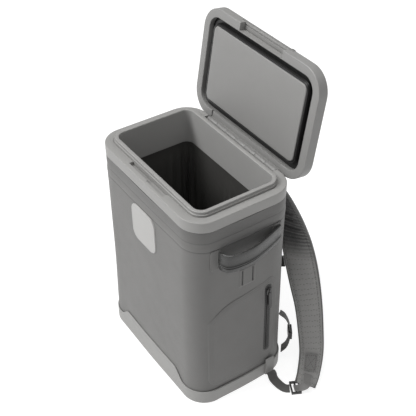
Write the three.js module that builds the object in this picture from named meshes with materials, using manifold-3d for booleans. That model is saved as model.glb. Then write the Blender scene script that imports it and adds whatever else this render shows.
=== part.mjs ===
// Soft-sided cooler backpack with a hard rim and lid, standing with its lid open. Sizes are in millimetres.
// +Z is up, the front with the badge faces -Y, and the back with the hinge and the straps faces +Y.
// The origin is on the floor below the middle of the base.
import * as THREE from "three";
import { mergeVertices } from "three/addons/utils/BufferGeometryUtils.js";
import Module from "manifold-3d";

const wasm = await Module();
wasm.setup();

// Driving sizes of the soft body
const BODY_WIDTH = 325.6; // outside, left to right, at the waist
const BODY_DEPTH = 213.6; // outside, front to back, at the waist
const BODY_CORNER = 44;
const BODY_BULGE = 2.8; // how far the padded side walls stand out at the base
const BODY_CROWN = 1.2; // how far each flat side bows out between its corners
const PADDING_FLOOR = 22;
const SEAM_DEPTH = 0.8; // welded seam grooves below the collar

// Driving sizes of the rim and its opening
const RIM_TOP = 450;
const BAND_HEIGHT = 22.2;
const BAND_PROUD = 1.2; // the collar's band stands out from the waist of the body
const RIM_SIDE = 24.6; // width of the collar beside the opening
const RIM_FRONT = 26.35; // and in front of it and behind it
const OPENING_CORNER = 16.5;
const LINER_WALL = 3;
const LINER_SEAM_Z = 386; // the rigid inner wall ends here, and the soft bag starts
const LIP_HEIGHT = 9;
const LIP_WIDTH = 7.5;
const LIP_STEP = 1.4;
const EDGE = 1.6; // rounded edge of moulded parts
const BAG_THICKNESS = 1.6;
const BAG_FOLD = 7; // how far the deepest fold of the soft bag stands off its wall

// Driving sizes of the base
const TRAY_SIDE = 3.6; // wall thickness at the sides
const TRAY_FRONT = 2.2; // wall thickness at the front and back
const TRAY_FLOOR = 3;
const TRAY_TOP = 31.5;
const TRAY_LIP_RISE = 23; // how much higher the front lip stands
const TRAY_LIP_HALF = 88; // half the length of the raised front lip
const TRAY_LIP_RUN = 32; // the lip falls back to the wall height over this length

// Driving sizes of the lid and its hinge
const LID_OVERHANG = 2.2; // the lid's sides stand outside the collar
const LID_SETBACK = 1; // and its front and back stand inside it
const LID_THICKNESS = 20.3;
const LID_GAP = 0.4; // clearance over the rim when shut
const LID_OPEN_DEG = 98.8; // the opened lid leans this far past level with its hinge
const LID_FRAME = 17; // width of the lid's rim frame
const LID_PANEL_CORNER = 11.4;
const SEAL_CLEARANCE = 0.65; // between the lip's foot and the lid's frame round it
const GASKET_WIDTH = 15.7; // between the frame and the panel
const GASKET_THICKNESS = 3;
const SLEEVE_CLEARANCE = 0.6; // between the seal's sleeve round the panel and the opening's wall
const SLEEVE_SETBACK = 2.2; // its foot stands further in at the front and back, to clear the wall in its swing
const HINGE_RADIUS = 4.8;
const HINGE_BORE = 2.4;
const HINGE_PIN = 2;
const HINGE_LENGTH = 211;
const HINGE_DROP = 5.7; // the hinge axis lies this far below the ledge
const HINGE_INSET = 2.5; // and this far inside the collar's back face
const HINGE_RECESS_DEPTH = 4; // recess in the lid's frame over the hinge leaf

// Driving sizes of the latch
const LATCH_LENGTH = 143;
const LATCH_THICKNESS = 7.8;
const LATCH_REACH = 12; // from the latch's axis to its front face
const LATCH_RIB = 1;
const LATCH_SUNK = 0.4; // its top lies this far below the lid's edge
const LATCH_PIN = 1.5;
const NOTCH_LENGTH = 122;
const NOTCH_DEPTH = 15;
const BUTTON_LENGTH = 16;
const BUTTON_HEIGHT = 4.4;
const BUTTON_WIDTH = 6.4;
const BUTTON_INSET = 0.5; // from the latch's right end
const LATCH_POCKET_LENGTH = 114; // recess in the ledge below the latch
const LATCH_POCKET_WIDTH = 8.9;
const LATCH_POCKET_DEPTH = 7;
const LATCH_POCKET_SHELF = 2.5;
const LATCH_SHELF_LENGTH = 57; // the shallow step beside that recess
const LATCH_SHELF_WIDTH = 11.4;
const LATCH_SHELF_SHIFT = 33.5;

// Driving sizes of handles, pocket and webbing
const HANDLE_SPAN = 130;
const HANDLE_CENTRE_Y = 7;
const HANDLE_Z = 361;
const HANDLE_WIDTH = 40;
const HANDLE_THICKNESS = 4;
const HANDLE_REACH = 21; // how far the handle bows away from the body
const HANDLE_PATCH = 20;
const PATCH_CORNER = 4;
const PATCH_MARGIN = 2; // how far a patch reaches past the handle's edges
const PATCH_RISE = 1.5; // its middle lies above the handle's
const HANDLE_PATCH_UNDER_FRONT = 4; // how far each patch reaches in under the handle's end
const HANDLE_PATCH_UNDER_BACK = 14;
const PATCH_THICKNESS = 1.6;
const TOOL_WIDTH = 40;
const TOOL_HEIGHT = 46;
const TOOL_SLITS = 23; // between the two slits
const TOOL_SLIT = 2.6;
const TOOL_SLIT_LENGTH = 34;
const TOOL_CORNER = 5;
const TOOL_Y = 4.5;
const TOOL_Z = 293;
const BADGE_WIDTH = 80;
const BADGE_HEIGHT = 82;
const BADGE_CORNER = 19;
const BADGE_Z = 342.5;
const BADGE_THICKNESS = 2;
const POCKET_LEFT = -80; // its front edge along the side
const POCKET_RIGHT = 75;
const POCKET_BOTTOM = 40;
const POCKET_TOP = 261;
const POCKET_SHOULDER = 214; // height of the top edge where it starts to rise
const POCKET_CORNER = 26;
const POCKET_THICKNESS = 1.8;
const ZIP_Y = 54;
const ZIP_BOTTOM = 70;
const ZIP_LENGTH = 175;
const ZIP_WIDTH = 15;
const ZIP_TAPE = 0.8;
const ZIP_COIL = 4.4;
const ZIP_SLIDER_DROP = 16; // from the zip's top end to the slider
const PULL_LENGTH = 40;
const WEBBING = 20;
const WEBBING_THICKNESS = 1.8;
const ANCHOR_INSET = 44.8; // from the back's face to the middle of the webbing tab
const ANCHOR_HEIGHT = 46;
const ANCHOR_THICKNESS = 3.2;
const LOCK_LENGTH = 20;
const LOCK_WIDTH = 30;
const LOCK_THICKNESS = 5;
const LOOP_TOP = 122; // where the loose webbing loop leaves the body
const LOOP_REACH = 12;
const LOOP_WIDTH = 18;
const STRAP_PATCH_WIDTH = 24;
const TAIL_WIDTH = 15;
const TAIL_SHIFT = 5; // sideways from the buckle's middle
const TAIL_ASIDE = -1; // sideways from the strap's middle
const CHEST_CLIP = 13;
const CHEST_CLIP_HEIGHT = 22;
const CHEST_WEBBING = 16;
const CHEST_BUCKLE = 46;
const CHEST_SAG = 3;

// Driving sizes of the shoulder straps
const STRAP_WIDTH = 68;
const STRAP_THICKNESS = 12;
const STRAP_TOP = 412;
const STRAP_REACH = 65; // how far the strap stands behind the back at its fullest
const STRAP_ASIDE = 83.2; // how far beside the body its lower end stands

const GAP = 0.35; // clearance between pieces that touch
const ARC_STEPS = 5;
const SIDE_STEPS = 4;

// Materials, one for each sub-part's finish
const FINISHES = {
  shell: { color: 0x6e6b66, roughness: 0.75 },
  rim: { color: 0xa9a6a0, roughness: 0.45 },
  lid: { color: 0xa19e98, roughness: 0.45 },
  panel: { color: 0x9b9893, roughness: 0.5 },
  bag: { color: 0x3b3935, roughness: 0.6 },
  badge: { color: 0xcfccc6, roughness: 0.5 },
  seal: { color: 0x121212, roughness: 0.5 },
  webbing: { color: 0x4a4844, roughness: 0.8 },
  mesh: { color: 0x3a3835, roughness: 0.9 },
  hard: { color: 0x35332f, roughness: 0.4 },
  steel: { color: 0x9a9a9a, roughness: 0.35, metalness: 0.9 },
};

// Shared helpers: smooth tables, outlines and lofted solids

function mix(a, b, t) {
  return a + (b - a) * t;
}

function smooth(t) {
  const s = Math.min(1, Math.max(0, t));
  return s * s * (3 - 2 * s);
}

// Reads a table of rows at a key, with a smooth curve through its values.
function readTable(rows, key, column, at) {
  const last = rows.length - 1;
  let i = 0;
  while (i < last - 1 && at > rows[i + 1][key]) i += 1;
  const here = rows[i];
  const next = rows[i + 1];
  const before = rows[Math.max(0, i - 1)];
  const after = rows[Math.min(last, i + 2)];
  const span = next[key] - here[key];
  const t = Math.min(1, Math.max(0, (at - here[key]) / span));
  const slopeIn = ((next[column] - before[column]) / (next[key] - before[key])) * span;
  const slopeOut = ((after[column] - here[column]) / (after[key] - here[key])) * span;
  const t2 = t * t;
  const t3 = t2 * t;
  return (
    (2 * t3 - 3 * t2 + 1) * here[column] +
    (t3 - 2 * t2 + t) * slopeIn +
    (3 * t2 - 2 * t3) * next[column] +
    (t3 - t2) * slopeOut
  );
}

// A rounded rectangle as points with their outward normals, counter-clockwise from the right side's middle.
// bow lifts each flat side between its corners.
function outline(halfX, halfY, corner, bow = 0) {
  const points = [];
  const flats = [
    { out: halfX, flat: halfY - corner, turn: 0 },
    { out: halfY, flat: halfX - corner, turn: 1 },
    { out: halfX, flat: halfY - corner, turn: 2 },
    { out: halfY, flat: halfX - corner, turn: 3 },
  ];
  flats.forEach(({ out, flat, turn }) => {
    const place = (a, b, na, nb, along) => {
      const [x, y] = rotateQuarter(a, b, turn);
      const [nx, ny] = rotateQuarter(na, nb, turn);
      points.push({ x, y, nx, ny, side: turn, along });
    };
    for (let i = 0; i < SIDE_STEPS; i += 1) {
      const t = -1 + (2 * i) / SIDE_STEPS;
      place(out + bow * crownShare(t), flat * t, 1, 0, t);
    }
    for (let i = 0; i < ARC_STEPS; i += 1) {
      const angle = (Math.PI / 2) * (i / ARC_STEPS);
      const c = Math.cos(angle);
      const s = Math.sin(angle);
      place(out - corner + corner * c, flat + corner * s, c, s, 1 + i / ARC_STEPS);
    }
  });
  return points;
}

function crownShare(t) {
  return Math.cos((Math.PI / 2) * Math.min(1, Math.abs(t))) ** 2;
}

function rotateQuarter(a, b, turns) {
  let [x, y] = [a, b];
  for (let i = 0; i < turns; i += 1) [x, y] = [-y, x];
  return [x, y];
}

// A ring of the loft: an outline at a height, pushed out along its normals by a number or by a function.
function ring(points, z, push = 0) {
  return points.map((p) => {
    const d = typeof push === "function" ? push(p) : push;
    const height = typeof z === "function" ? z(p) : z;
    return new THREE.Vector3(p.x + p.nx * d, p.y + p.ny * d, height);
  });
}

// Joins rings of equal count into one closed mesh: end to end in a loop, or with flat caps.
function loft(rings, looped = false) {
  const count = rings[0].length;
  const vertices = rings.flat().flatMap((p) => [p.x, p.y, p.z]);
  const triangles = [];
  const bands = looped ? rings.length : rings.length - 1;
  for (let r = 0; r < bands; r += 1) {
    const a = r * count;
    const b = ((r + 1) % rings.length) * count;
    for (let i = 0; i < count; i += 1) {
      const j = (i + 1) % count;
      triangles.push(a + i, a + j, b + j, a + i, b + j, b + i);
    }
  }
  if (!looped) {
    const addCap = (start, reversed) => {
      const centre = vertices.length / 3;
      const middle = new THREE.Vector3();
      rings[start].forEach((p) => middle.add(p));
      middle.divideScalar(count);
      vertices.push(middle.x, middle.y, middle.z);
      for (let i = 0; i < count; i += 1) {
        const a = start * count + i;
        const b = start * count + ((i + 1) % count);
        triangles.push(...(reversed ? [centre, b, a] : [centre, a, b]));
      }
    };
    addCap(0, true);
    addCap(rings.length - 1, false);
  }
  const geometry = new THREE.BufferGeometry();
  geometry.setAttribute("position", new THREE.Float32BufferAttribute(vertices, 3));
  geometry.setIndex(signedVolume(vertices, triangles) < 0 ? turned(triangles) : triangles);
  return geometry;
}

// Six times the volume that the triangles enclose: negative when they face inwards.
function signedVolume(vertices, triangles) {
  const corner = (i) => new THREE.Vector3().fromArray(vertices, 3 * i);
  let sum = 0;
  for (let i = 0; i < triangles.length; i += 3) {
    const [a, b, c] = triangles.slice(i, i + 3).map(corner);
    sum += a.dot(b.cross(c));
  }
  return sum;
}

function turned(triangles) {
  return triangles.map((_, i) => triangles[i % 3 === 0 ? i : i - (i % 3) + 3 - (i % 3)]);
}

// Turns a closed geometry into a solid that can be joined or cut, and back.
function toSolid(geometry) {
  const bare = geometry.clone();
  bare.deleteAttribute("normal");
  bare.deleteAttribute("uv");
  const merged = mergeVertices(bare, 1e-3);
  const solid = new wasm.Manifold(
    new wasm.Mesh({
      numProp: 3,
      vertProperties: merged.attributes.position.array,
      triVerts: new Uint32Array(merged.index.array),
    }),
  );
  return solid;
}

function toGeometry(solid) {
  const mesh = solid.getMesh();
  const geometry = new THREE.BufferGeometry();
  const positions = new Float32Array(mesh.numVert * 3);
  for (let i = 0; i < mesh.numVert; i += 1) {
    positions.set(mesh.vertProperties.subarray(i * mesh.numProp, i * mesh.numProp + 3), i * 3);
  }
  geometry.setAttribute("position", new THREE.BufferAttribute(positions, 3));
  geometry.setIndex(new THREE.BufferAttribute(new Uint32Array(mesh.triVerts), 1));
  return geometry;
}

function cut(geometry, tools) {
  return toGeometry(tools.reduce((solid, tool) => solid.subtract(toSolid(tool)), toSolid(geometry)));
}

function join(geometries) {
  const [first, ...rest] = geometries.map(toSolid);
  return toGeometry(rest.reduce((solid, tool) => solid.add(tool), first));
}

// A block between two corners.
function block(low, high) {
  const size = high.map((v, i) => v - low[i]);
  const geometry = new THREE.BoxGeometry(...size);
  return geometry.translate(...low.map((v, i) => v + size[i] / 2));
}

// A rod along X.
function rod(radius, fromX, toX, y, z, sides) {
  const geometry = new THREE.CylinderGeometry(radius, radius, toX - fromX, sides);
  return geometry.rotateZ(Math.PI / 2).translate((fromX + toX) / 2, y, z);
}

// A profile in the Y-Z plane, drawn as a closed list of points, run along X.
function runAlongX(profile, fromX, toX) {
  const shape = new THREE.Shape(profile.map(([y, z]) => new THREE.Vector2(y, z)));
  const geometry = new THREE.ExtrudeGeometry(shape, { depth: toX - fromX, bevelEnabled: false });
  return geometry.rotateY(Math.PI / 2).rotateX(Math.PI / 2).translate(fromX, 0, 0);
}

// The same piece on the other side of the part.
function mirrored(geometry) {
  const flipped = geometry.clone().scale(-1, 1, 1);
  flipped.setIndex(turned([...geometry.index.array]));
  return flipped;
}

// The soft body's outside, which the trays, patches and handles sit on

const halfBodyX = BODY_WIDTH / 2;
const halfBodyY = BODY_DEPTH / 2;
const bandBottom = RIM_TOP - BAND_HEIGHT;
const bodyBottom = TRAY_FLOOR + GAP;

// How far the padded walls stand out, as shares of BODY_BULGE, by share of the height up to the collar
const BULGES = [
  { height: 0, side: 1, front: 0.3 },
  { height: 0.14, side: 1, front: 0.3 },
  { height: 0.24, side: 0.75, front: 0.25 },
  { height: 0.4, side: 0.35, front: 0.12 },
  { height: 0.6, side: 0.06, front: 0.04 },
  { height: 0.78, side: 0.14, front: 0.14 },
  { height: 0.9, side: 0.34, front: 0.34 },
  { height: 0.95, side: 0.42, front: 0.42 },
  { height: 1, side: 0.12, front: 0.12 },
];

function bodyBulge(z) {
  const at = Math.min(1, Math.max(0, z / bandBottom));
  return {
    side: BODY_BULGE * readTable(BULGES, "height", "side", at),
    front: BODY_BULGE * readTable(BULGES, "height", "front", at),
  };
}

function bodyOutline(z, push = 0) {
  const bulge = bodyBulge(z);
  return outline(
    halfBodyX + bulge.side + push,
    halfBodyY + bulge.front + push,
    BODY_CORNER + push,
    BODY_CROWN,
  );
}

// A point on or over the body's outside: u runs round the body from the middle of the named side.
const FACES = { right: 0, back: 1, left: 2, front: 3 };

function onBody(face, u, z, over) {
  const turn = FACES[face];
  const bulge = bodyBulge(z);
  const sides = turn % 2 === 0;
  const out = sides ? halfBodyX + bulge.side : halfBodyY + bulge.front;
  const flat = (sides ? halfBodyY + bulge.front : halfBodyX + bulge.side) - BODY_CORNER;
  const past = Math.max(0, Math.abs(u) - flat);
  const angle = Math.min(Math.PI / 2, past / BODY_CORNER);
  const radius = BODY_CORNER + over;
  const away = out - BODY_CORNER + radius * Math.cos(angle) + BODY_CROWN * crownShare(u / flat);
  const along = Math.sign(u) * (Math.min(Math.abs(u), flat) + radius * Math.sin(angle));
  const [x, y] = rotateQuarter(away, along, turn);
  return new THREE.Vector3(x, y, z);
}

// A straight-sided plug through the named side, whose outline is given as u and z.
const PLUG_REACH = 30;

function sidePlug(face, edge) {
  const turn = FACES[face];
  const out = turn % 2 === 0 ? halfBodyX : halfBodyY;
  const layer = (away) =>
    edge.map(([u, z]) => {
      const at = onBody(face, u, z, 0);
      const along = turn % 2 === 0 ? at.y * (1 - turn) : at.x * (turn - 2);
      const [x, y] = rotateQuarter(out + away, along, turn);
      return new THREE.Vector3(x, y, z);
    });
  return loft([layer(-PLUG_REACH), layer(PLUG_REACH)]);
}

// A patch that follows the body: a skin over it, trimmed to the outline.
function bodyPatch(face, edge, lift, thickness) {
  const skin = loft([...bodyRings(lift + thickness), ...bodyRings(lift).reverse()], true);
  return toGeometry(toSolid(skin).intersect(toSolid(sidePlug(face, edge))));
}

// A rounded rectangle of u and z, counter-clockwise seen from outside the body.
function patchOutline(width, height, corner, centreU, centreZ, arcSteps = 4, sideSteps = 3) {
  const edge = [];
  const halfs = [
    [width / 2, height / 2],
    [height / 2, width / 2],
  ];
  for (let turn = 0; turn < 4; turn += 1) {
    const [out, half] = halfs[turn % 2];
    const flat = half - corner;
    for (let i = 0; i < sideSteps; i += 1) {
      edge.push(rotateQuarter(out, flat * (-1 + (2 * i) / sideSteps), turn));
    }
    for (let i = 0; i < arcSteps; i += 1) {
      const angle = (Math.PI / 2) * (i / arcSteps);
      edge.push(
        rotateQuarter(out - corner + corner * Math.cos(angle), flat + corner * Math.sin(angle), turn),
      );
    }
  }
  return edge.map(([u, z]) => [u + centreU, z + centreZ]);
}

// Soft body, soft bag, collar and base

const wallX = halfBodyX - RIM_SIDE;
const wallY = halfBodyY - RIM_FRONT;

function openingOutline(push) {
  return outline(wallX + push, wallY + push, OPENING_CORNER + push);
}

// Rings of a rounded bottom edge, as insets and heights over the bottom.
function bottomRound(radius, steps) {
  const rows = [];
  for (let i = 0; i <= steps; i += 1) {
    const angle = (Math.PI / 2) * (i / steps);
    rows.push({ inset: radius * (1 - Math.sin(angle)), rise: radius * (1 - Math.cos(angle)) });
  }
  return rows;
}

const BODY_BOTTOM_ROUND = 8;
const LEVELS = [0.14, 0.24, 0.38, 0.58, 0.78]; // heights of the body's rings, as shares up to the collar
const SEAM_DROPS = [24, 43]; // the welded seams lie this far below the collar
const SEAM_HALF = 2.2;
const BAG_BOTTOM_ROUND = 14;
const bagFloor = bodyBottom + PADDING_FLOOR;

// The body's outside as rings from its bottom up to the collar, pushed out by a distance.
function bodyRings(push) {
  const rings = bottomRound(BODY_BOTTOM_ROUND, 3).map(({ inset, rise }) =>
    ring(bodyOutline(bodyBottom), bodyBottom + rise, push - inset),
  );
  const levels = LEVELS.map((share) => ({ z: share * bandBottom, groove: 0 }));
  [...SEAM_DROPS].reverse().forEach((drop) => {
    const z = bandBottom - drop;
    levels.push({ z: z - SEAM_HALF, groove: 0 }, { z, groove: SEAM_DEPTH });
    levels.push({ z: z + SEAM_HALF, groove: 0 });
  });
  levels.push({ z: bandBottom - 8, groove: 0 }, { z: bandBottom - GAP, groove: 0 });
  levels.forEach(({ z, groove }) => rings.push(ring(bodyOutline(z), z, push - groove)));
  return rings;
}

function bodyShell() {
  const inside = LINER_WALL + GAP;
  const rings = bodyRings(0);
  rings.push(ring(openingOutline(inside), bandBottom - GAP));
  bottomRound(BAG_BOTTOM_ROUND, 2)
    .reverse()
    .forEach(({ inset, rise }) => rings.push(ring(openingOutline(inside), bagFloor + rise, -inset)));
  return loft(rings);
}

// Folds of the soft bag: where they stand round the wall, how wide they are, and how deep as shares of
// BAG_FOLD. side 0 is the right wall, 1 the back, 2 the left and 3 the front; along runs -1 to 1, and past 1
// round the corner.
const FOLDS = [
  { side: 1, along: -0.05, width: 0.12, depth: 0.5, lean: 0 },
  { side: 1, along: 0.62, width: 0.25, depth: 0.55, lean: -0.1 },
  { side: 1, along: 1.35, width: 0.3, depth: 1, lean: 0.15 },
  { side: 2, along: -0.66, width: 0.2, depth: 0.7, lean: 0.25 },
  { side: 2, along: 0.4, width: 0.3, depth: 0.5, lean: -0.1 },
  { side: 2, along: 1.4, width: 0.3, depth: 0.9, lean: 0 },
  { side: 3, along: 0.1, width: 0.25, depth: 0.5, lean: 0.1 },
  { side: 3, along: 1.4, width: 0.3, depth: 0.9, lean: 0 },
  { side: 0, along: 0.1, width: 0.35, depth: 0.5, lean: 0 },
  { side: 0, along: 1.4, width: 0.3, depth: 0.9, lean: 0 },
];

function bagInset(point, level) {
  const hang = Math.sin(Math.PI * Math.min(1, level * 1.1)) ** 0.8;
  const depth = FOLDS.filter(({ side }) => side === point.side).reduce((sum, fold) => {
    const off = (point.along - fold.along - fold.lean * (level - 0.5)) / fold.width;
    return sum + fold.depth * Math.exp(-off * off);
  }, 0.12);
  return -BAG_FOLD * hang * Math.min(1.1, depth);
}

function coolerLiner() {
  const outside = LINER_WALL - 0.2;
  const top = LINER_SEAM_Z - GAP;
  const bottom = bagFloor + GAP;
  const levels = [0.14, 0.34, 0.56, 0.78, 0.94];
  const wall = (push, bottomZ) => [
    ...bottomRound(BAG_BOTTOM_ROUND + 1, 2).map(({ inset, rise }) =>
      ring(openingOutline(push), bottomZ + rise, -inset),
    ),
    ...levels.map((level) =>
      ring(openingOutline(push), mix(bottomZ, top, level), (p) => bagInset(p, level)),
    ),
    ring(openingOutline(push), top),
  ];
  return loft([
    ...wall(outside, bottom),
    ...wall(outside - BAG_THICKNESS, bottom + BAG_THICKNESS).reverse(),
  ]);
}

const hingeY = BODY_DEPTH / 2 + BAND_PROUD - HINGE_INSET;
const hingeZ = RIM_TOP - HINGE_DROP;
const lipTop = RIM_TOP + LIP_HEIGHT;
const collarX = halfBodyX + BAND_PROUD;
const collarY = halfBodyY + BAND_PROUD;

function rimCollar() {
  const outer = (push) => outline(collarX + push, collarY + push, BODY_CORNER + BAND_PROUD + push);
  const rings = [
    ring(openingOutline(0), LINER_SEAM_Z),
    ring(openingOutline(0), lipTop - 2 * EDGE),
    ring(openingOutline(0.3 * EDGE), lipTop - 0.5 * EDGE),
    ring(openingOutline(EDGE), lipTop),
    ring(openingOutline(LIP_WIDTH - EDGE), lipTop),
    ring(openingOutline(LIP_WIDTH - 0.3 * EDGE), lipTop - 0.5 * EDGE),
    ring(openingOutline(LIP_WIDTH), lipTop - EDGE),
    ring(openingOutline(LIP_WIDTH), RIM_TOP + 0.4 * LIP_HEIGHT),
    ring(openingOutline(LIP_WIDTH + LIP_STEP), RIM_TOP + 0.36 * LIP_HEIGHT),
    ring(openingOutline(LIP_WIDTH + LIP_STEP), RIM_TOP),
    ring(outer(-2 * EDGE), RIM_TOP),
    ring(outer(-0.5 * EDGE), RIM_TOP - 0.5 * EDGE),
    ring(outer(0), RIM_TOP - 2 * EDGE),
    ring(outer(0), bandBottom + EDGE),
    ring(outer(-EDGE), bandBottom),
    ring(openingOutline(LINER_WALL), bandBottom),
    ring(openingOutline(LINER_WALL), LINER_SEAM_Z),
  ];
  const halfHinge = HINGE_LENGTH / 2 + 2;
  const wellFront = hingeY - HINGE_RADIUS - 3.8;
  const wellFloor = hingeZ - HINGE_RADIUS - 0.8;
  const pocketBack = -wallY - LIP_WIDTH - LIP_STEP - SEAL_CLEARANCE;
  const recess = (length, shift, width, depth) =>
    block(
      [shift - length / 2, pocketBack - width, RIM_TOP - depth],
      [shift + length / 2, pocketBack, RIM_TOP + 1],
    );
  const tools = [
    block([-halfHinge, wellFront, wellFloor], [halfHinge, collarY + 5, RIM_TOP + 5]),
    rod(HINGE_PIN + 0.1, -halfHinge - 6, halfHinge + 6, hingeY, hingeZ, 16),
    recess(LATCH_POCKET_LENGTH, 0, LATCH_POCKET_WIDTH, LATCH_POCKET_DEPTH),
    recess(LATCH_SHELF_LENGTH, LATCH_SHELF_SHIFT, LATCH_SHELF_WIDTH, LATCH_POCKET_SHELF),
  ];
  return cut(loft(rings, true), tools);
}

function trayTop(point) {
  if (point.side !== 3 && !(point.side === 2 && point.along > 1)) return TRAY_TOP;
  const past = (Math.abs(point.x) - TRAY_LIP_HALF) / TRAY_LIP_RUN;
  return TRAY_TOP + TRAY_LIP_RISE * (1 - smooth(past));
}

function baseTray() {
  const inner = () => bodyOutline(bodyBottom, GAP);
  const outer = () => {
    const bulge = bodyBulge(bodyBottom);
    return outline(
      halfBodyX + bulge.side + TRAY_SIDE + GAP,
      halfBodyY + bulge.front + TRAY_FRONT + GAP,
      BODY_CORNER + TRAY_SIDE,
      BODY_CROWN,
    );
  };
  const rings = [
    ring(outer(), 0, -2.2),
    ring(outer(), 0.8, -0.6),
    ring(outer(), 3, 0),
    ring(outer(), (p) => trayTop(p) - 1, 0),
    ring(outer(), trayTop, -0.7),
    ring(inner(), trayTop, 0.35),
    ring(inner(), (p) => trayTop(p) - 1.2, 0),
    ...bottomRound(BODY_BOTTOM_ROUND, 3)
      .reverse()
      .map(({ inset, rise }) => ring(inner(), TRAY_FLOOR + rise, -inset)),
  ];
  return loft(rings);
}

// Lid, drawn shut over the rim; its group turns it open about the hinge axis

const lidX = collarX + LID_OVERHANG;
const lidY = collarY - LID_SETBACK;
const lidCorner = BODY_CORNER + BAND_PROUD;
const lidBottom = RIM_TOP + LID_GAP;
const lidTop = lidBottom + LID_THICKNESS;
const sealCeiling = lipTop + LID_GAP + GASKET_THICKNESS;
const LID_CROWN = 1.4;
const latchY = -lidY + LATCH_REACH;
const latchZ = lidTop - LATCH_THICKNESS / 2 - LATCH_SUNK;
const latchTurn = LATCH_THICKNESS / 2;

function lidOutline(push) {
  return outline(lidX + push, lidY + push, lidCorner + push);
}

const sealX = lidX - LID_FRAME;
const sealY = lidY - LID_FRAME;
const sealCorner = OPENING_CORNER + LIP_WIDTH + LIP_STEP + SEAL_CLEARANCE;

function sealOutline(push) {
  return outline(sealX + push, sealY + push, sealCorner + push);
}

function panelOutline(push) {
  return outline(sealX - GASKET_WIDTH + push, sealY - GASKET_WIDTH + push, LID_PANEL_CORNER + push);
}

// The slot for the latch: the latch's own profile with a clearance, open to the front and to the top, and wide
// enough behind the latch for it to turn.
function latchSlot(fromX, toX) {
  const turn = latchTurn + 0.45;
  const profile = [[-lidY - 5, latchZ - turn - 0.3]];
  for (let i = 0; i <= 6; i += 1) {
    const angle = -Math.PI / 2 + (Math.PI * i) / 8;
    const floor = i === 0 ? 0.3 : 0;
    profile.push([latchY + turn * Math.cos(angle), latchZ + turn * Math.sin(angle) - floor]);
  }
  profile.push([latchY + turn * Math.cos(Math.PI / 4), lidTop + 5], [-lidY - 5, lidTop + 5]);
  return runAlongX(profile, fromX, toX);
}

function lidShell() {
  const rings = [
    ring(sealOutline(0), sealCeiling),
    ring(sealOutline(0), lidBottom + 0.6),
    ring(sealOutline(0.6), lidBottom),
    ring(lidOutline(-EDGE), lidBottom),
    ring(lidOutline(0), lidBottom + EDGE),
    ring(lidOutline(0), lidTop - 3 * EDGE),
    ring(lidOutline(-0.5 * EDGE), lidTop - 1.2 * EDGE),
    ring(lidOutline(-2.2 * EDGE), lidTop - 0.2 * EDGE),
    ring(lidOutline(-5 * EDGE), lidTop),
    ring(lidOutline(-8 * EDGE), lidTop + 0.4 * LID_CROWN),
    ring(lidOutline(-20 * EDGE), lidTop + LID_CROWN),
  ];
  const halfNotch = NOTCH_LENGTH / 2;
  const halfLatch = LATCH_LENGTH / 2;
  const halfHinge = HINGE_LENGTH / 2 + 1.5;
  const leafFront = lidY - LID_FRAME - 2;
  const tools = [
    block([-halfNotch, -lidY - 5, lidBottom - 5], [halfNotch, -lidY + NOTCH_DEPTH, latchZ - latchTurn]),
    latchSlot(-halfLatch - 0.5, halfLatch + 0.5),
    rod(LATCH_PIN + 0.35, -halfLatch - 4, halfLatch + 4, latchY, latchZ, 12),
    block([-halfHinge, leafFront, lidBottom - 5], [halfHinge, lidY + 5, lidBottom + HINGE_RECESS_DEPTH]),
  ];
  return cut(loft(rings), tools);
}

function lidPanel() {
  const rings = [
    ring(panelOutline(-3), lidBottom + 0.2),
    ring(panelOutline(-1.2), lidBottom + 0.3),
    ring(panelOutline(0), lidBottom + 1.6),
    ring(panelOutline(0), sealCeiling - GAP),
  ];
  return loft(rings);
}

// The seal lines the groove between the frame and the panel, and stands round the panel as a sleeve.
function lidGasket() {
  const side = wallX - SLEEVE_CLEARANCE;
  const front = wallY - SLEEVE_CLEARANCE;
  const sleeve = (setback) => outline(side, front - setback, OPENING_CORNER - SLEEVE_CLEARANCE);
  const low = lipTop + LID_GAP;
  const high = sealCeiling - GAP;
  const bead = 0.6;
  const rings = [
    ring(panelOutline(GAP + bead), lidBottom + 1),
    ring(panelOutline(GAP), lidBottom + 1 + bead),
    ring(panelOutline(GAP), high),
    ring(sealOutline(-GAP), high),
    ring(sealOutline(-GAP), low + bead),
    ring(sealOutline(-GAP - bead), low),
    ring(sleeve(0), low),
    ring(sleeve(0), lipTop - 2),
    ring(sleeve(SLEEVE_SETBACK), lidBottom + 2),
    ring(sleeve(SLEEVE_SETBACK), lidBottom + 1, -bead / 2),
  ];
  return loft(rings, true);
}

function hingeBarrel() {
  const half = HINGE_LENGTH / 2;
  const leafTop = lidBottom + HINGE_RECESS_DEPTH - GAP;
  const leafLow = leafTop - 1.9;
  const leafBack = lidY - 0.4;
  const web = 4;
  const leaf = block([-half, lidY - LID_FRAME + 1, leafLow], [half, leafBack, leafTop]);
  const stem = block([-half, leafBack - web, hingeZ + HINGE_RADIUS - 1.5], [half, leafBack, leafLow + 0.5]);
  const barrel = rod(HINGE_RADIUS, -half, half, hingeY, hingeZ, 16);
  return cut(join([leaf, stem, barrel]), [rod(HINGE_BORE, -half - 1, half + 1, hingeY, hingeZ, 16)]);
}

function hingePin() {
  const half = HINGE_LENGTH / 2 + 7;
  return rod(HINGE_PIN - 0.2, -half, half, hingeY, hingeZ, 12);
}

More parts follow.
